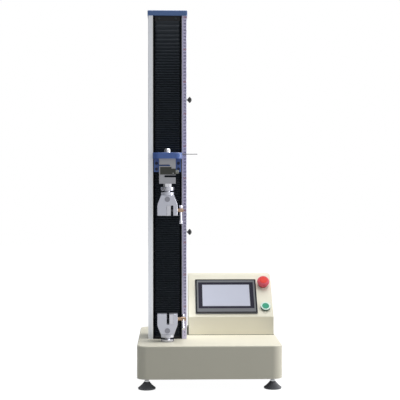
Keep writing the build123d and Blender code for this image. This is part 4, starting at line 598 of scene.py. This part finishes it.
class Graduations(RuledPiece):
    """A row of short printed bars, one above the other."""

    def __init__(self, finish: Finish) -> None:
        """Build the tree: points up a line, and a thin bar on each.

        Args:
            finish: The ink.
        """
        inputs = {"Start": VECTOR, "Count": INTEGER, "Pitch": FLOAT, "Bar": VECTOR}
        super().__init__("graduations", finish, inputs)
        tree, given = self.tree, self.given
        rise = add_node(tree, "ShaderNodeCombineXYZ", {"Z": given["Pitch"]})["Vector"]
        line = {"Count": given["Count"], "Start Location": given["Start"], "Offset": rise}
        points = add_node(tree, "GeometryNodeMeshLine", line)["Mesh"]
        bar = add_node(tree, "GeometryNodeMeshCube", {"Size": given["Bar"]})["Mesh"]
        row = add_node(tree, "GeometryNodeInstanceOnPoints", {"Points": points, "Instance": bar})
        self.end_with(row["Instances"])


@dataclass(frozen=True)
class Thread:
    """Sizes of the ridge of a screw thread."""

    radius_mm: float
    pitch_mm: float
    ridge_mm: float


class ScrewThread(RuledPiece):
    """The ridge of a screw thread, round an upright axis."""

    STEPS_A_TURN = 28
    SECTION_CORNERS = 4

    def __init__(self, finish: Finish) -> None:
        """Build the tree: a spiral with a small section of few corners.

        Args:
            finish: The screw's finish.
        """
        inputs = {"Turns": FLOAT, "Radius": FLOAT, "Length": FLOAT, "Ridge": FLOAT}
        super().__init__("screw_thread", finish, inputs)
        tree, given = self.tree, self.given
        path = add_node(
            tree, "GeometryNodeCurveSpiral",
            {
                "Resolution": self.STEPS_A_TURN, "Rotations": given["Turns"],
                "Start Radius": given["Radius"], "End Radius": given["Radius"],
                "Height": given["Length"],
            },
        )["Curve"]
        circle = {"Resolution": self.SECTION_CORNERS, "Radius": given["Ridge"]}
        section = add_node(tree, "GeometryNodeCurvePrimitiveCircle", circle)["Curve"]
        swept = {"Curve": path, "Profile Curve": section, "Fill Caps": True}
        self.end_with(add_node(tree, "GeometryNodeCurveToMesh", swept)["Mesh"])

    def ridge(self, name: str, size: Thread, length: float, low: Point) -> Mesh:
        """Run the tree and put the ridge in its place.

        Args:
            name: The result's name.
            size: The thread's sizes.
            length: How far it climbs, in metres.
            low: Its lowest point on the axis, in the frame's metres.

        Returns:
            The ridge as a plain mesh.
        """
        values = {"Turns": length / (size.pitch_mm * MM), "Radius": size.radius_mm * MM}
        mesh = self.mesh(name, {**values, "Length": length, "Ridge": size.ridge_mm * MM})
        mesh.transform(Matrix.Translation(low))
        return mesh


class PleatedCover(RuledPiece):
    """A pleated sheet whose folds grow towards its top, with its side edges turned back."""

    POINTS_ACROSS = 25
    # A power under 1 rounds the inner folds and keeps the outer ones crisp
    FOLD_POWER = 0.8
    # The sheet sways by up to a tenth of its fold either way, in slow waves up its length
    SWAY = 0.2
    SWAY_SCALE = 1.6
    SWAYS_UP = 24.0
    # The edges turn back from here, in widths from the middle
    EDGE_FROM = 0.43

    def __init__(self, finish: Finish) -> None:
        """Build the tree: a flat grid whose points are moved onto the folds.

        Args:
            finish: The cloth.
        """
        floats = ("Width", "Pleats", "Height", "Depth", "Even Share", "Growth", "Turn Back", "Seed")
        inputs = {"Rows": INTEGER, "Low": VECTOR, **dict.fromkeys(floats, FLOAT)}
        super().__init__("pleated_cover", finish, inputs)
        tree, given = self.tree, self.given
        sizes = {"Size X": 1.0, "Size Y": 1.0, "Vertices X": self.POINTS_ACROSS}
        grid = add_node(tree, "GeometryNodeMeshGrid", {**sizes, "Vertices Y": given["Rows"]})[0]
        spot = add_node(tree, "GeometryNodeInputPosition")["Position"]
        across, part_way, _ = add_node(tree, "ShaderNodeSeparateXYZ", {"Vector": spot})
        part = add_node(tree, MATHS, {0: part_way, 1: 0.5}, operation="ADD")[0]
        # The rise is an even share of the way up plus the rest by a power, so that pleats grow
        even = add_node(tree, MATHS, {0: given["Even Share"], 1: part}, operation="MULTIPLY")[0]
        rest = add_node(tree, MATHS, {0: 1.0, 1: given["Even Share"]}, operation="SUBTRACT")[0]
        power = add_node(tree, MATHS, {0: part, 1: given["Growth"]}, operation="POWER")[0]
        grown = add_node(tree, MATHS, {0: rest, 1: power}, operation="MULTIPLY")[0]
        rise = add_node(tree, MATHS, {0: even, 1: grown}, operation="ADD")[0]
        # One triangle wave a pleat: 0 on its outer fold and 1 on its inner fold
        turns = add_node(tree, MATHS, {0: part, 1: given["Pleats"]}, operation="MULTIPLY")[0]
        wave = add_node(tree, MATHS, {0: turns, 1: 0.5}, operation="PINGPONG")[0]
        whole = add_node(tree, MATHS, {0: wave, 1: 2.0}, operation="MULTIPLY")[0]
        fold = add_node(tree, MATHS, {0: whole, 1: self.FOLD_POWER}, operation="POWER")[0]
        up = add_node(tree, MATHS, {0: part, 1: self.SWAYS_UP}, operation="MULTIPLY")[0]
        drift = add_node(tree, "ShaderNodeCombineXYZ", {"X": across, "Y": up})["Vector"]
        waves = {"Vector": drift, "W": given["Seed"], "Scale": self.SWAY_SCALE}
        sway = add_node(tree, "ShaderNodeTexNoise", waves, noise_dimensions="4D")["Fac"]
        either_way = add_node(tree, MATHS, {0: sway, 1: 0.5}, operation="SUBTRACT")[0]
        swayed = add_node(tree, MATHS, {0: either_way, 1: self.SWAY}, operation="MULTIPLY")[0]
        folded = add_node(tree, MATHS, {0: fold, 1: swayed}, operation="ADD")[0]
        deep = add_node(tree, MATHS, {0: folded, 1: given["Depth"]}, operation="MULTIPLY")[0]
        # The side edges turn back by a square, so they leave the sheet without a crease
        out = add_node(tree, MATHS, {0: across}, operation="ABSOLUTE")[0]
        spans = {"Value": out, "From Min": self.EDGE_FROM, "From Max": 0.5}
        edge = add_node(tree, "ShaderNodeMapRange", spans)["Result"]
        square = add_node(tree, MATHS, {0: edge, 1: edge}, operation="MULTIPLY")[0]
        back = add_node(tree, MATHS, {0: square, 1: given["Turn Back"]}, operation="MULTIPLY")[0]
        x = add_node(tree, MATHS, {0: across, 1: given["Width"]}, operation="MULTIPLY")[0]
        y = add_node(tree, MATHS, {0: deep, 1: back}, operation="ADD")[0]
        z = add_node(tree, MATHS, {0: rise, 1: given["Height"]}, operation="MULTIPLY")[0]
        flat = add_node(tree, "ShaderNodeCombineXYZ", {"X": x, "Y": y, "Z": z})["Vector"]
        placed = add_node(tree, "ShaderNodeVectorMath", {0: flat, 1: given["Low"]}, operation="ADD")
        moved = {"Geometry": grid, "Position": placed["Vector"]}
        self.end_with(add_node(tree, "GeometryNodeSetPosition", moved)["Geometry"])


@dataclass(frozen=True)
class Softbox:
    """One rectangular lamp: its centre, the point that it faces and its sides, in metres."""

    name: str
    place: Point
    aim: Point
    size: Pair
    watts: float

    def hang(self) -> None:
        """Put the lamp into the scene."""
        data = bpy.data.lights.new(self.name, "AREA")
        data.shape = "RECTANGLE"
        data.size, data.size_y = self.size
        data.energy = self.watts
        lamp = add_object(self.name, data)
        lamp.location = self.place
        lamp.rotation_mode = "QUATERNION"
        lamp.rotation_quaternion = (Vector(self.aim) - Vector(self.place)).to_track_quat("-Z", "Y")


@dataclass
class Studio:
    """Camera, lamps, white backdrop and pale floor."""

    camera_place: Point = (-0.1145, -3.005, 0.600)
    sensor_mm: float = 36.0
    # Focal length in widths of the picture, and the pixel that looks straight along +Y
    focal_px: float = 943.0
    picture_px: float = 400.0
    straight_px: Pair = (171.5, 190.0)
    # The photograph's studio lights the machine from above and from the right
    softboxes: tuple[Softbox, ...] = (
        Softbox("overhead_softbox", (0.7, 0.1, 2.9), (0.0, 0.0, 0.2), (2.2, 1.6), 52.0),
        Softbox("right_softbox", (2.6, -0.35, 0.9), (0.0, 0.0, 0.5), (1.2, 1.8), 30.0),
    )
    # The room's light is a little cooler than the softboxes
    ambient: float = 0.39
    ambient_colour: str = "#f4faff"
    # How far right a mirrored direction points where the world is dimmest and where it is white
    dim_side: Pair = (-0.8, 0.55)
    dim_strength: float = 0.12
    floor_side: float = 14.0
    # The floor lights the machine as a grey, and is seen as a pale sheet that glows more far away
    floor_grey: float = 0.18
    floor_pale: float = 0.9
    floor_near: float = 1.2
    floor_far: float = 2.6
    floor_glow: float = 1.15
    floor_glow_share: float = 0.86

    def place_camera(self) -> None:
        """Put the camera where the photograph was taken from."""
        data = bpy.data.cameras.new("camera")
        data.sensor_width = self.sensor_mm
        data.lens = data.sensor_width * self.focal_px / self.picture_px
        camera = add_object("camera", data)
        across, down = ((self.picture_px / 2 - px) / self.focal_px for px in self.straight_px)
        camera.rotation_mode = "QUATERNION"
        camera.location = self.camera_place
        camera.rotation_quaternion = Vector((across, 1.0, -down)).to_track_quat("-Z", "Y")
        bpy.context.scene.camera = camera

    def backdrop(self) -> None:
        """Make the world white to the eye, dim on the left to metal, and dim to the rest."""
        world = bpy.data.worlds.new("studio_world")
        tree = empty_tree(world)
        way = add_node(tree, "ShaderNodeTexCoord")["Generated"]
        rightwards = add_node(tree, "ShaderNodeSeparateXYZ", {"Vector": way})["X"]
        dimmest, white = self.dim_side
        spans = {"From Min": dimmest, "From Max": white, "To Min": self.dim_strength}
        eased = add_node(
            tree, "ShaderNodeMapRange", {"Value": rightwards, **spans},
            interpolation_type="SMOOTHSTEP",
        )
        camera = add_node(tree, "ShaderNodeLightPath")["Is Camera Ray"]
        seen = self.seen_directly(tree)
        cool = linear(self.ambient_colour)
        colour = add_node(tree, MIX, {0: seen, 6: cool, 7: WHITE}, data_type="RGBA")[2]
        shown = add_node(tree, MIX, {0: camera, 2: eased["Result"], 3: 1.0})[0]
        strength = add_node(tree, MIX, {0: seen, 2: self.ambient, 3: shown})[0]
        sky = add_node(tree, "ShaderNodeBackground", {"Color": colour, "Strength": strength})
        add_node(tree, "ShaderNodeOutputWorld", {"Surface": sky["Background"]})
        bpy.context.scene.world = world

    def seen_directly(self, tree: Tree) -> Socket:
        """Tell what is seen from what is only lit.

        Args:
            tree: The shader tree.

        Returns:
            1 for camera, glossy and transmission rays, and 0 for the rest.
        """
        path = add_node(tree, "ShaderNodeLightPath")
        seen: Socket | float = 0.0
        for ray in ("Is Camera Ray", "Is Glossy Ray", "Is Transmission Ray"):
            seen = add_node(tree, MATHS, {0: seen, 1: path[ray]}, operation="MAXIMUM")[0]
        return seen

    def floor(self) -> None:
        """Lay the pale floor, which looks nearly white and keeps a soft shadow."""
        made = bpy.data.materials.new("studio_floor")
        tree = empty_tree(made)
        matt, pale = (
            add_node(tree, "ShaderNodeBsdfDiffuse", {"Color": (grey, grey, grey, 1.0)})["BSDF"]
            for grey in (self.floor_grey, self.floor_pale)
        )
        glowing = {"Color": WHITE, "Strength": self.floor_glow}
        glow = add_node(tree, "ShaderNodeEmission", glowing)["Emission"]
        place = add_node(tree, "ShaderNodeTexCoord")["Object"]
        away = add_node(tree, "ShaderNodeVectorMath", {0: place}, operation="LENGTH")["Value"]
        spans = {"Value": away, "From Min": self.floor_near, "From Max": self.floor_far}
        spans["To Min"] = self.floor_glow_share
        share = add_node(tree, "ShaderNodeMapRange", spans)["Result"]
        looked_at = add_node(tree, "ShaderNodeMixShader", {0: share, 1: pale, 2: glow})["Shader"]
        shown = {0: self.seen_directly(tree), 1: matt, 2: looked_at}
        surface = add_node(tree, "ShaderNodeMixShader", shown)["Shader"]
        add_node(tree, "ShaderNodeOutputMaterial", {"Surface": surface})
        plane = add_object("studio_floor", mesh_from("studio_floor", self.sheet))
        plane.data.materials.append(made)

    def sheet(self, work: Work) -> None:
        """Fill in the floor's one square face."""
        bmesh.ops.create_grid(work, x_segments=1, y_segments=1, size=self.floor_side / 2)

    def build(self) -> None:
        """Set up the whole studio."""
        bpy.context.scene.view_settings.view_transform = "Standard"
        self.place_camera()
        for softbox in self.softboxes:
            softbox.hang()
        self.backdrop()
        self.floor()


@dataclass
class SubAssembly:
    """One part of the machine, with the CAD nodes by name, for those that it paints."""

    nodes: Nodes


@dataclass
class BaseAndFeet(SubAssembly):
    """The base and its four levelling feet."""

    pad_height_mm: float = 22.0
    hexagon_height_mm: float = 4.0
    # The stud's thread shows between the foot's hexagon and the base
    stud: Thread = Thread(radius_mm=5.0, pitch_mm=1.5, ridge_mm=0.45)
    stud_length_mm: float = 4.0

    def dress(self) -> None:
        """Finish the feet, black moulding and zinc-plated stud, and cut each stud's thread."""
        finish = Finish(
            "foot_moulding_and_stud", "#78787c", 0.6, relief_mm=0.02, mottle=0.08,
            zones=(Zone(((UP, self.pad_height_mm * MM),), "#b9bbbd", 0.3, 1.0),),
        )
        thread = ScrewThread(ZINC)
        free_start = (self.pad_height_mm + self.hexagon_height_mm) * MM
        for name in ("front_left", "front_right", "rear_left", "rear_right"):
            paint(self.nodes[f"foot_{name}"], finish)
            low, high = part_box(f"foot_{name}")
            start = ((low[0] + high[0]) / 2, (low[1] + high[1]) / 2, free_start)
            mesh = thread.ridge(f"stud_thread_{name}", self.stud, self.stud_length_mm * MM, start)
            settle(f"stud_thread_{name}", mesh, f"levelling_foot_{name}")


@dataclass
class Column(SubAssembly):
    """The column with its bellows and scale tape."""

    bellows_width_mm: float = 78.0
    fold_depth_mm: float = 5.5
    fold_front_gap_mm: float = 0.3
    # Folds that turn by more than this look creased
    fold_edge_deg: float = 30.0
    turn_back_mm: float = 5.0
    rows_per_pleat: int = 6
    # The pitch of each cover's lowest and highest pleat, and the power by which pleats grow between
    # them: only the top few are much wider than the rest
    upper_pitches_mm: Pair = (7.0, 17.0)
    lower_pitches_mm: Pair = (6.6, 8.0)
    growth: float = 8.0
    sheet_mm: float = 0.8
    seed: float = 3.0
    # Each row of bars: its name, how far apart its bars are and how long each is
    bars_mm: tuple[tuple[str, int, float], ...] = (
        ("fine", 1, 1.4), ("half", 5, 2.0), ("full", 10, 2.6)
    )
    bar_inset_mm: float = 0.3
    tick_mm: float = 0.35
    ink_lift_mm: float = 0.05
    number_inset_mm: float = 5.6
    number_height_mm: float = 7.4
    number_bold_mm: float = 0.22
    number_curve_steps: int = 2
    tens_scale: float = 1.25

    def bellows(self) -> None:
        """Make both pleated covers and stretch each between the column and the crosshead."""
        rule = PleatedCover(BELLOWS_CLOTH)
        for which, pitches in (("upper", self.upper_pitches_mm), ("lower", self.lower_pitches_mm)):
            low, high = (Vector(corner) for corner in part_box(f"{which}_bellows"))
            height = high.z - low.z
            mean = (pitches[1] + (self.growth - 1) * pitches[0]) / self.growth
            pleats = round(height / (mean * MM))
            mesh = rule.mesh(
                f"{which}_bellows_pleats",
                {
                    "Width": self.bellows_width_mm * MM,
                    "Rows": self.rows_per_pleat * pleats + 1,
                    "Pleats": float(pleats),
                    "Low": ((low.x + high.x) / 2, low.y + self.fold_front_gap_mm * MM, low.z),
                    "Height": height,
                    "Depth": self.fold_depth_mm * MM,
                    "Even Share": pitches[0] / mean,
                    "Growth": self.growth,
                    "Turn Back": self.turn_back_mm * MM,
                    "Seed": self.seed,
                },
            )
            cover = settle(f"{which}_bellows_pleats", mesh, FRAME_BODY)
            self.thicken(cover)
            smooth(cover.data, self.fold_edge_deg)
            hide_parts(f"{which}_bellows")
            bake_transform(self.freed(cover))

    def thicken(self, cover: Piece) -> None:
        """Give the sheet its thickness as real faces.

        Args:
            cover: The pleated cover, still without thickness.
        """
        shell = cover.modifiers.new("sheet", "SOLIDIFY")
        shell.thickness = self.sheet_mm * MM
        shell.offset = 0.0
        thick = evaluated(cover)
        cover.modifiers.remove(shell)
        cover.data = thick

    def freed(self, cover: Piece) -> Piece:
        """Take the cover off its body, so that no body carries it."""
        cover.parent = None
        return cover

    def tape(self) -> None:
        """Print millimetre bars and centimetre numbers on the tape."""
        low, high = (Vector(corner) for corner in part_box("scale_tape"))
        ink = Graduations(TAPE_FINE_INK)
        height_mm = int((high.z - low.z) / MM)
        ink_y = low.y - self.ink_lift_mm * MM / 2
        for label, pitch_mm, length_mm in self.bars_mm:
            count = height_mm // pitch_mm + 1
            bar = (length_mm * MM, self.ink_lift_mm * MM, self.tick_mm * MM)
            start_x = low.x + length_mm * MM / 2 + self.bar_inset_mm * MM
            start = (start_x, ink_y, low.z + self.tick_mm * MM)
            values = {"Start": start, "Count": count, "Pitch": pitch_mm * MM, "Bar": bar}
            mesh = ink.mesh(f"tape_bars_{label}", values)
            settle(f"tape_bars_{label}", mesh, FRAME_BODY)
        number_x = high.x - self.number_inset_mm * MM
        for name, is_tens, scale, finish in (
            ("tape_numbers", False, 1.0, TAPE_INK),
            ("tape_tens", True, self.tens_scale, TAPE_RED_INK),
        ):
            work = bmesh.new()
            for centimetre in range(1, height_mm // 10 + 1):
                if (centimetre % 10 == 0) == is_tens:
                    mesh = self.number(str(centimetre), self.number_height_mm * scale)
                    height = low.z + centimetre * 10 * MM
                    mesh.transform(Matrix.Translation((number_x, ink_y, height)))
                    work.from_mesh(mesh)
            joined = bpy.data.meshes.new(name)
            work.to_mesh(joined)
            work.free()
            settle(name, joined, FRAME_BODY, finish)

    def number(self, text: str, size_mm: float) -> Mesh:
        """Draw one plain number.

        Args:
            text: Its digits.
            size_mm: Its size.

        Returns:
            A flat mesh, upright and facing the operator, round the origin.
        """
        curve = bpy.data.curves.new("number", "FONT")
        curve.body = text
        curve.size = size_mm * MM
        curve.align_x = "CENTER"
        curve.align_y = "CENTER"
        curve.resolution_u = self.number_curve_steps
        curve.offset = self.number_bold_mm * MM
        carrier = add_object("number", curve)
        mesh = bpy.data.meshes.new_from_object(carrier)
        bpy.data.objects.remove(carrier)
        mesh.transform(Matrix.Rotation(math.pi / 2, 4, "X"))
        return mesh

    def dress(self) -> None:
        """Build everything on the column."""
        self.bellows()
        self.tape()


@dataclass
class CrossheadAndGrips(SubAssembly):
    """The load cell's small screws and the threads between cell, rings and grips."""

    cover_screw_radius_mm: float = 1.6
    # How far up the cover and how far in from its right edge a screw sits
    cover_screw_up_mm: float = 4.0
    cover_screw_in_mm: float = 8.0
    # A screw's dome: the share of its radius and the height of each ring
    cover_screw_dome: tuple[Pair, ...] = ((1.0, 0.0), (0.9, 0.5), (0.0, 0.9))
    cover_screw_steps: int = 20
    adapter: Thread = Thread(radius_mm=9.0, pitch_mm=1.5, ridge_mm=0.5)
    # How far from a grip's jaw end its adapter's thread starts, and where it ends, upper and lower
    thread_start_mm: float = 73.8
    thread_ends_mm: Pair = (76.3, 76.5)
    # From the load cell's back to a plane in front of the arm screws, and from a grip to the brass
    cell_to_screws_mm: float = 8.0
    hub_gap_mm: float = 0.3

    def cover_screws(self) -> None:
        """Put a small screw near the lower right corner of each cover."""
        low, high = (Vector(corner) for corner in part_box("load_cell_cover"))
        radius_mm, steps = self.cover_screw_radius_mm, self.cover_screw_steps
        dome = [(share * radius_mm * MM, z * MM) for share, z in self.cover_screw_dome]

        def heads(work: Work) -> None:
            """Turn one domed head for each cover.

            Args:
                work: The bmesh to fill.
            """
            for y, way in ((low.y, 1.0), (high.y, -1.0)):
                x, z = high.x - self.cover_screw_in_mm * MM, low.z + self.cover_screw_up_mm * MM
                place = Matrix.Translation((x, y, z)) @ Matrix.Rotation(way * math.pi / 2, 4, "X")
                work.from_mesh(mesh_from("head", lambda head: lathe(head, dome, steps), place))

        mesh = mesh_from("cell_cover_screws", heads)
        smooth(mesh)
        settle("cell_cover_screws", mesh, CROSSHEAD_BODY, ZINC)

    def adapter_threads(self) -> None:
        """Show the adapters' threads between each grip's boss and its lock ring."""
        thread = ScrewThread(PLATED)
        for which, end_mm in zip(GRIPS, self.thread_ends_mm):
            low, high = (Vector(corner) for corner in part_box(f"{which}_grip_body"))
            upright = which == "upper"
            start = self.thread_start_mm * MM
            length = (end_mm - self.thread_start_mm) * MM
            z = low.z + start if upright else high.z - start - length
            place = ((low.x + high.x) / 2, (low.y + high.y) / 2, z)
            mesh = thread.ridge(f"{which}_adapter_thread", self.adapter, length, place)
            body = CROSSHEAD_BODY if upright else FRAME_BODY
            settle(f"{which}_adapter_thread", mesh, body)

    def fasteners(self) -> None:
        """Finish the cell's bolt and nut in bright zinc, and the four arm screws in black oxide,
        tinted blue as a painted reflection of the blue arm round them.
        """
        _, cell_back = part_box("load_cell")
        screws_from = cell_back[1] + self.cell_to_screws_mm * MM
        finish = Finish(
            "bright_and_black_fasteners", "#dfe0e6", 0.22, metallic=1.0, relief_mm=0.006,
            # The arm screws' black oxide is tinted blue: a painted reflection of the blue arm round
            # them
            zones=(Zone(((BACK, screws_from),), "#434d69", 0.5, 0.3),),
        )
        paint(self.nodes["crosshead_fasteners"], finish)

    def jaw_screws(self) -> None:
        """Finish each jaw screw: dark threaded steel, with a brass hub pressed on its outer end."""
        for which in GRIPS:
            _, body_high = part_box(f"{which}_grip_body")
            hub_from = body_high[0] + self.hub_gap_mm * MM
            finish = Finish(
                f"{which}_jaw_screw_steel_and_brass", "#55565b", 0.4, metallic=0.9, relief_mm=0.02,
                zones=(Zone(((RIGHT, hub_from),), BRASS.colour, BRASS.roughness, 1.0),),
            )
            paint(self.nodes[f"{which}_jaw_screw"], finish)

    def dress(self) -> None:
        """Build everything on the crosshead and the grips."""
        self.fasteners()
        self.jaw_screws()
        self.cover_screws()
        self.adapter_threads()


@dataclass
class ControlBox(SubAssembly):
    """The sloped box with its touch panel, emergency stop and start button."""

    slope_run_mm: float = 116.0
    slope_rise_mm: float = 125.0
    panel_size_mm: Pair = (200.0, 136.5)
    panel_centre_mm: Pair = (123.0, 79.5)
    bezel_thickness_mm: float = 5.0
    # The rim starts this far inside the bezel's edge, ends this far inside it and stands this proud
    rim_mm: Point = (1.3, 5.0, 0.35)
    window_mm: Pair = (180.0, 105.0)
    window_play_mm: float = 0.4
    window_rise_mm: float = 2.8
    window_depth_mm: float = 1.4
    # The frame's underside and its inner edge lie this far above the window's floor, and its outer
    # edge this far under the bezel's top
    frame_mm: Point = (0.05, 0.45, 0.1)
    display_mm: Pair = (154.0, 86.0)
    # The display slab's thickness, and its middle above the window's floor
    display_slab_mm: Pair = (0.4, 0.25)
    stop_centre_mm: Pair = (247.0, 131.0)
    # The head's diameter, height and height above the panel
    stop_head_mm: Point = (40.0, 13.0, 9.5)
    # The head's outside as shares of its radius: each point's drop from the top down to the widest
    # ring, and then its height above the head's foot
    stop_crown: tuple[Pair, ...] = (
        (0.0, 0.0), (0.4, 0.15), (0.62, 0.55), (0.65, 2.8), (0.69, 2.8), (0.74, 1.5), (0.8, 1.3),
        (0.86, 2.3), (0.92, 4.2), (0.985, 6.6), (1.0, 8.8), (0.985, 10.6),
    )
    stop_side: tuple[Pair, ...] = (
        (0.93, 1.2), (0.9, -1.0), (0.88, -3.8), (0.83, -3.8), (0.83, 0.0)
    )
    stop_steps: int = 72
    stop_edge_deg: float = 40.0
    # Radius and depth of the bore that takes the stem
    stop_bore_mm: Pair = (5.0, 6.0)
    # The cap in the head's middle reaches this far down
    stop_cap_mm: float = 0.65
    # The start bezel's pale ring starts this far above the panel; the side below it is painted dark
    # as painted shade
    bezel_ring_from_mm: float = 6.2
    # How far the seal stands past the walls, how high it is and how wide
    seal_mm: Point = (0.8, 1.0, 3.0)
    bracket_mm: Point = (3.4, 40.0, 25.5)
    bracket_back_mm: float = 2.0
    bracket_edge_mm: float = 0.6

    def plane(self) -> Matrix:
        """Place the sloped panel's own axes.

        Returns:
            X across, Y up the slope, Z out of it.
        """
        low, high = (Vector(corner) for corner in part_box("control_box_housing"))
        foot = Matrix.Translation((low.x, low.y, high.z - self.slope_rise_mm * MM))
        return foot @ Matrix.Rotation(math.atan2(self.slope_rise_mm, self.slope_run_mm), 4, "X")

    def local(self, centre: Pair) -> Matrix:
        """Return the panel's axes moved to a centre on it."""
        return self.plane() @ Matrix.Translation((centre[0] * MM, centre[1] * MM, 0.0))

    def past_height(self, height_mm: float) -> Plane:
        """Return the plane that lies this far out of the sloped panel, for a zone beyond it."""
        out = self.plane().to_3x3() @ Vector(UP)
        return tuple(out), (self.plane() @ Vector((0.0, 0.0, height_mm * MM))).dot(out)

    def ring(self, work: Work, outer: Pair, inner: Pair, outer_z: Pair, inner_z: Pair) -> None:
        """Fill in a rectangular frame with a four-cornered section.

        Args:
            work: The bmesh to fill.
            outer: Its outer width and height in mm.
            inner: Its inner width and height in mm.
            outer_z: Lowest and highest point of its outer wall in mm.
            inner_z: Lowest and highest point of its inner wall in mm.
        """
        loops = []
        for (width, height), heights in ((outer, outer_z), (inner, inner_z)):
            x, y = width / 2 * MM, height / 2 * MM
            corners = ((-x, -y), (x, -y), (x, y), (-x, y))
            for z in heights:
                loops.append([work.verts.new((*corner, z * MM)) for corner in corners])
        order = [loops[0], loops[1], loops[3], loops[2]]
        for first, second in zip(order, order[1:] + order[:1]):
            for i in range(4):
                j = (i + 1) % 4
                work.faces.new((first[i], first[j], second[j], second[i]))

    def touch_panel(self) -> None:
        """Make the bezel's dark rim, the sloped frame round the display, and the display."""
        place = self.local(self.panel_centre_mm)
        raised = place @ Matrix.Translation((0.0, self.window_rise_mm * MM, 0.0))
        width, height = self.panel_size_mm
        top = self.bezel_thickness_mm
        floor = top - self.window_depth_mm
        start, end, proud = self.rim_mm
        under, inner_edge, outer_edge = self.frame_mm
        thickness, middle = self.display_slab_mm
        window = (self.window_mm[0] - self.window_play_mm, self.window_mm[1] - self.window_play_mm)
        rim = (
            (width - 2 * start, height - 2 * start), (width - 2 * end, height - 2 * end),
            (top, top + proud), (top, top + proud),
        )
        slope = (
            window, self.display_mm,
            (floor + under, top - outer_edge), (floor + under, floor + inner_edge),
        )

        def display_recipe(work: Work) -> None:
            """A flat slab under the frame's inner edge."""
            block(work, (self.display_mm[0] * MM, self.display_mm[1] * MM, thickness * MM))
            bmesh.ops.translate(work, vec=(0.0, 0.0, (floor + middle) * MM), verts=work.verts)

        mesh = mesh_from("touch_panel_rim", lambda work: self.ring(work, *rim), place)
        settle("touch_panel_rim", mesh, FRAME_BODY, RIM_BLACK)
        mesh = mesh_from("screen_frame", lambda work: self.ring(work, *slope), raised)
        frame_piece = settle("screen_frame", mesh, FRAME_BODY, FRAME_DARK)
        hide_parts("hmi_screen")
        mesh = mesh_from("display", display_recipe, raised)
        settle("display", mesh, FRAME_BODY, DISPLAY)

    def stop_head(self) -> None:
        """Turn the mushroom head with its raised rim and domed middle."""
        diameter, height, rise = self.stop_head_mm
        radius = diameter / 2
        top = rise + height
        bore, depth = self.stop_bore_mm
        profile_mm = [(radius * share, top - drop) for share, drop in self.stop_crown]
        profile_mm += [(radius * share, rise + up) for share, up in self.stop_side]
        profile_mm += [(bore, rise), (bore, rise + depth), (0.0, rise + depth)]
        profile = [(r * MM, z * MM) for r, z in profile_mm]
        place, steps = self.local(self.stop_centre_mm), self.stop_steps
        mesh = mesh_from("stop_mushroom", lambda work: lathe(work, profile, steps), place)
        smooth(mesh, self.stop_edge_deg)
        finish = self.stop_finish(top - self.stop_cap_mm)
        head = settle("stop_mushroom", mesh, "estop_mushroom", finish)
        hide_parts("estop_head")

    def seal(self) -> None:
        """Lay the thin black seal that the box stands on, just past its walls."""
        low, high = (Vector(corner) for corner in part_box("control_box_housing"))
        past, height, width = self.seal_mm
        outer = ((high.x - low.x) / MM + past, (high.y - low.y) / MM + past)
        middle = Vector(((low.x + high.x) / 2, (low.y + high.y) / 2, low.z + height * MM / 2))
        # The frame is as wide as the walls' fold
        inner = (outer[0] - 2 * width, outer[1] - 2 * width)
        half = (-height / 2, height / 2)
        place = Matrix.Translation(middle)
        mesh = mesh_from("box_seal", lambda work: self.ring(work, outer, inner, half, half), place)
        settle("box_seal", mesh, FRAME_BODY, RIM_BLACK)

    def bracket(self) -> None:
        """Put a thin black plate with broken edges against the foot of the box's left wall."""
        low, _ = (Vector(corner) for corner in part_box("control_box_housing"))
        size = Vector(self.bracket_mm) * MM
        edge = self.bracket_edge_mm * MM

        def recipe(work: Work) -> None:
            """Fill in one plate with broken edges."""
            block(work, size)
            bmesh.ops.bevel(work, geom=work.edges[:], offset=edge, segments=2, affect="EDGES")

        back = Vector(BACK) * self.bracket_back_mm * MM
        middle = low + Vector((-size.x, size.y, size.z)) / 2 + back
        mesh = mesh_from("box_black_plate", recipe, Matrix.Translation(middle))
        settle("box_black_plate", mesh, FRAME_BODY, RIM_BLACK)

    def bezel_finish(self) -> Finish:
        """Return the start bezel's finish: a pale ring on top, and below it the side painted dark
        green as painted shade.
        """
        return Finish(
            # Painted shade: the dark green of the bezel's side, under its pale ring
            "start_bezel_ring_and_painted_shade", "#2c4a41", 0.4,
            zones=(Zone((self.past_height(self.bezel_ring_from_mm),), "#d5f0e4", 0.3),),
        )

    def stop_finish(self, middle_from_mm: float) -> Finish:
        """Return the stop head's finish: red polyamide painted a pale pink outside its cap, a
        painted highlight on the raised ring, and a warmer orange red on the cap from this height
        up.
        """
        return Finish(
            # Painted highlight: the pale pink outside the cap stands in for the glare on the raised
            # ring
            "stop_red_polyamide", "#f06a78", 0.4, grain_mm=1.5, mottle=0.05, specular=0.15,
            zones=(Zone((self.past_height(middle_from_mm),), "#ee4638", 0.45),),
        )

    def dress(self) -> None:
        """Build everything on the control box."""
        paint(self.nodes["start_bezel"], self.bezel_finish())
        self.seal()
        self.bracket()
        self.touch_panel()
        self.stop_head()


def main() -> None:
    """Load the frame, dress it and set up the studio."""
    logging.basicConfig(level=logging.INFO, format="%(message)s")
    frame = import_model()
    nodes = frame["nodes"]
    for finish, names in FINISHED_NODES.items():
        for name in names:
            paint(nodes[name], finish)
    for sub_assembly in (BaseAndFeet, Column, CrossheadAndGrips, ControlBox):
        sub_assembly(nodes).dress()
    Studio().build()


if __name__ == "__main__":
    main()
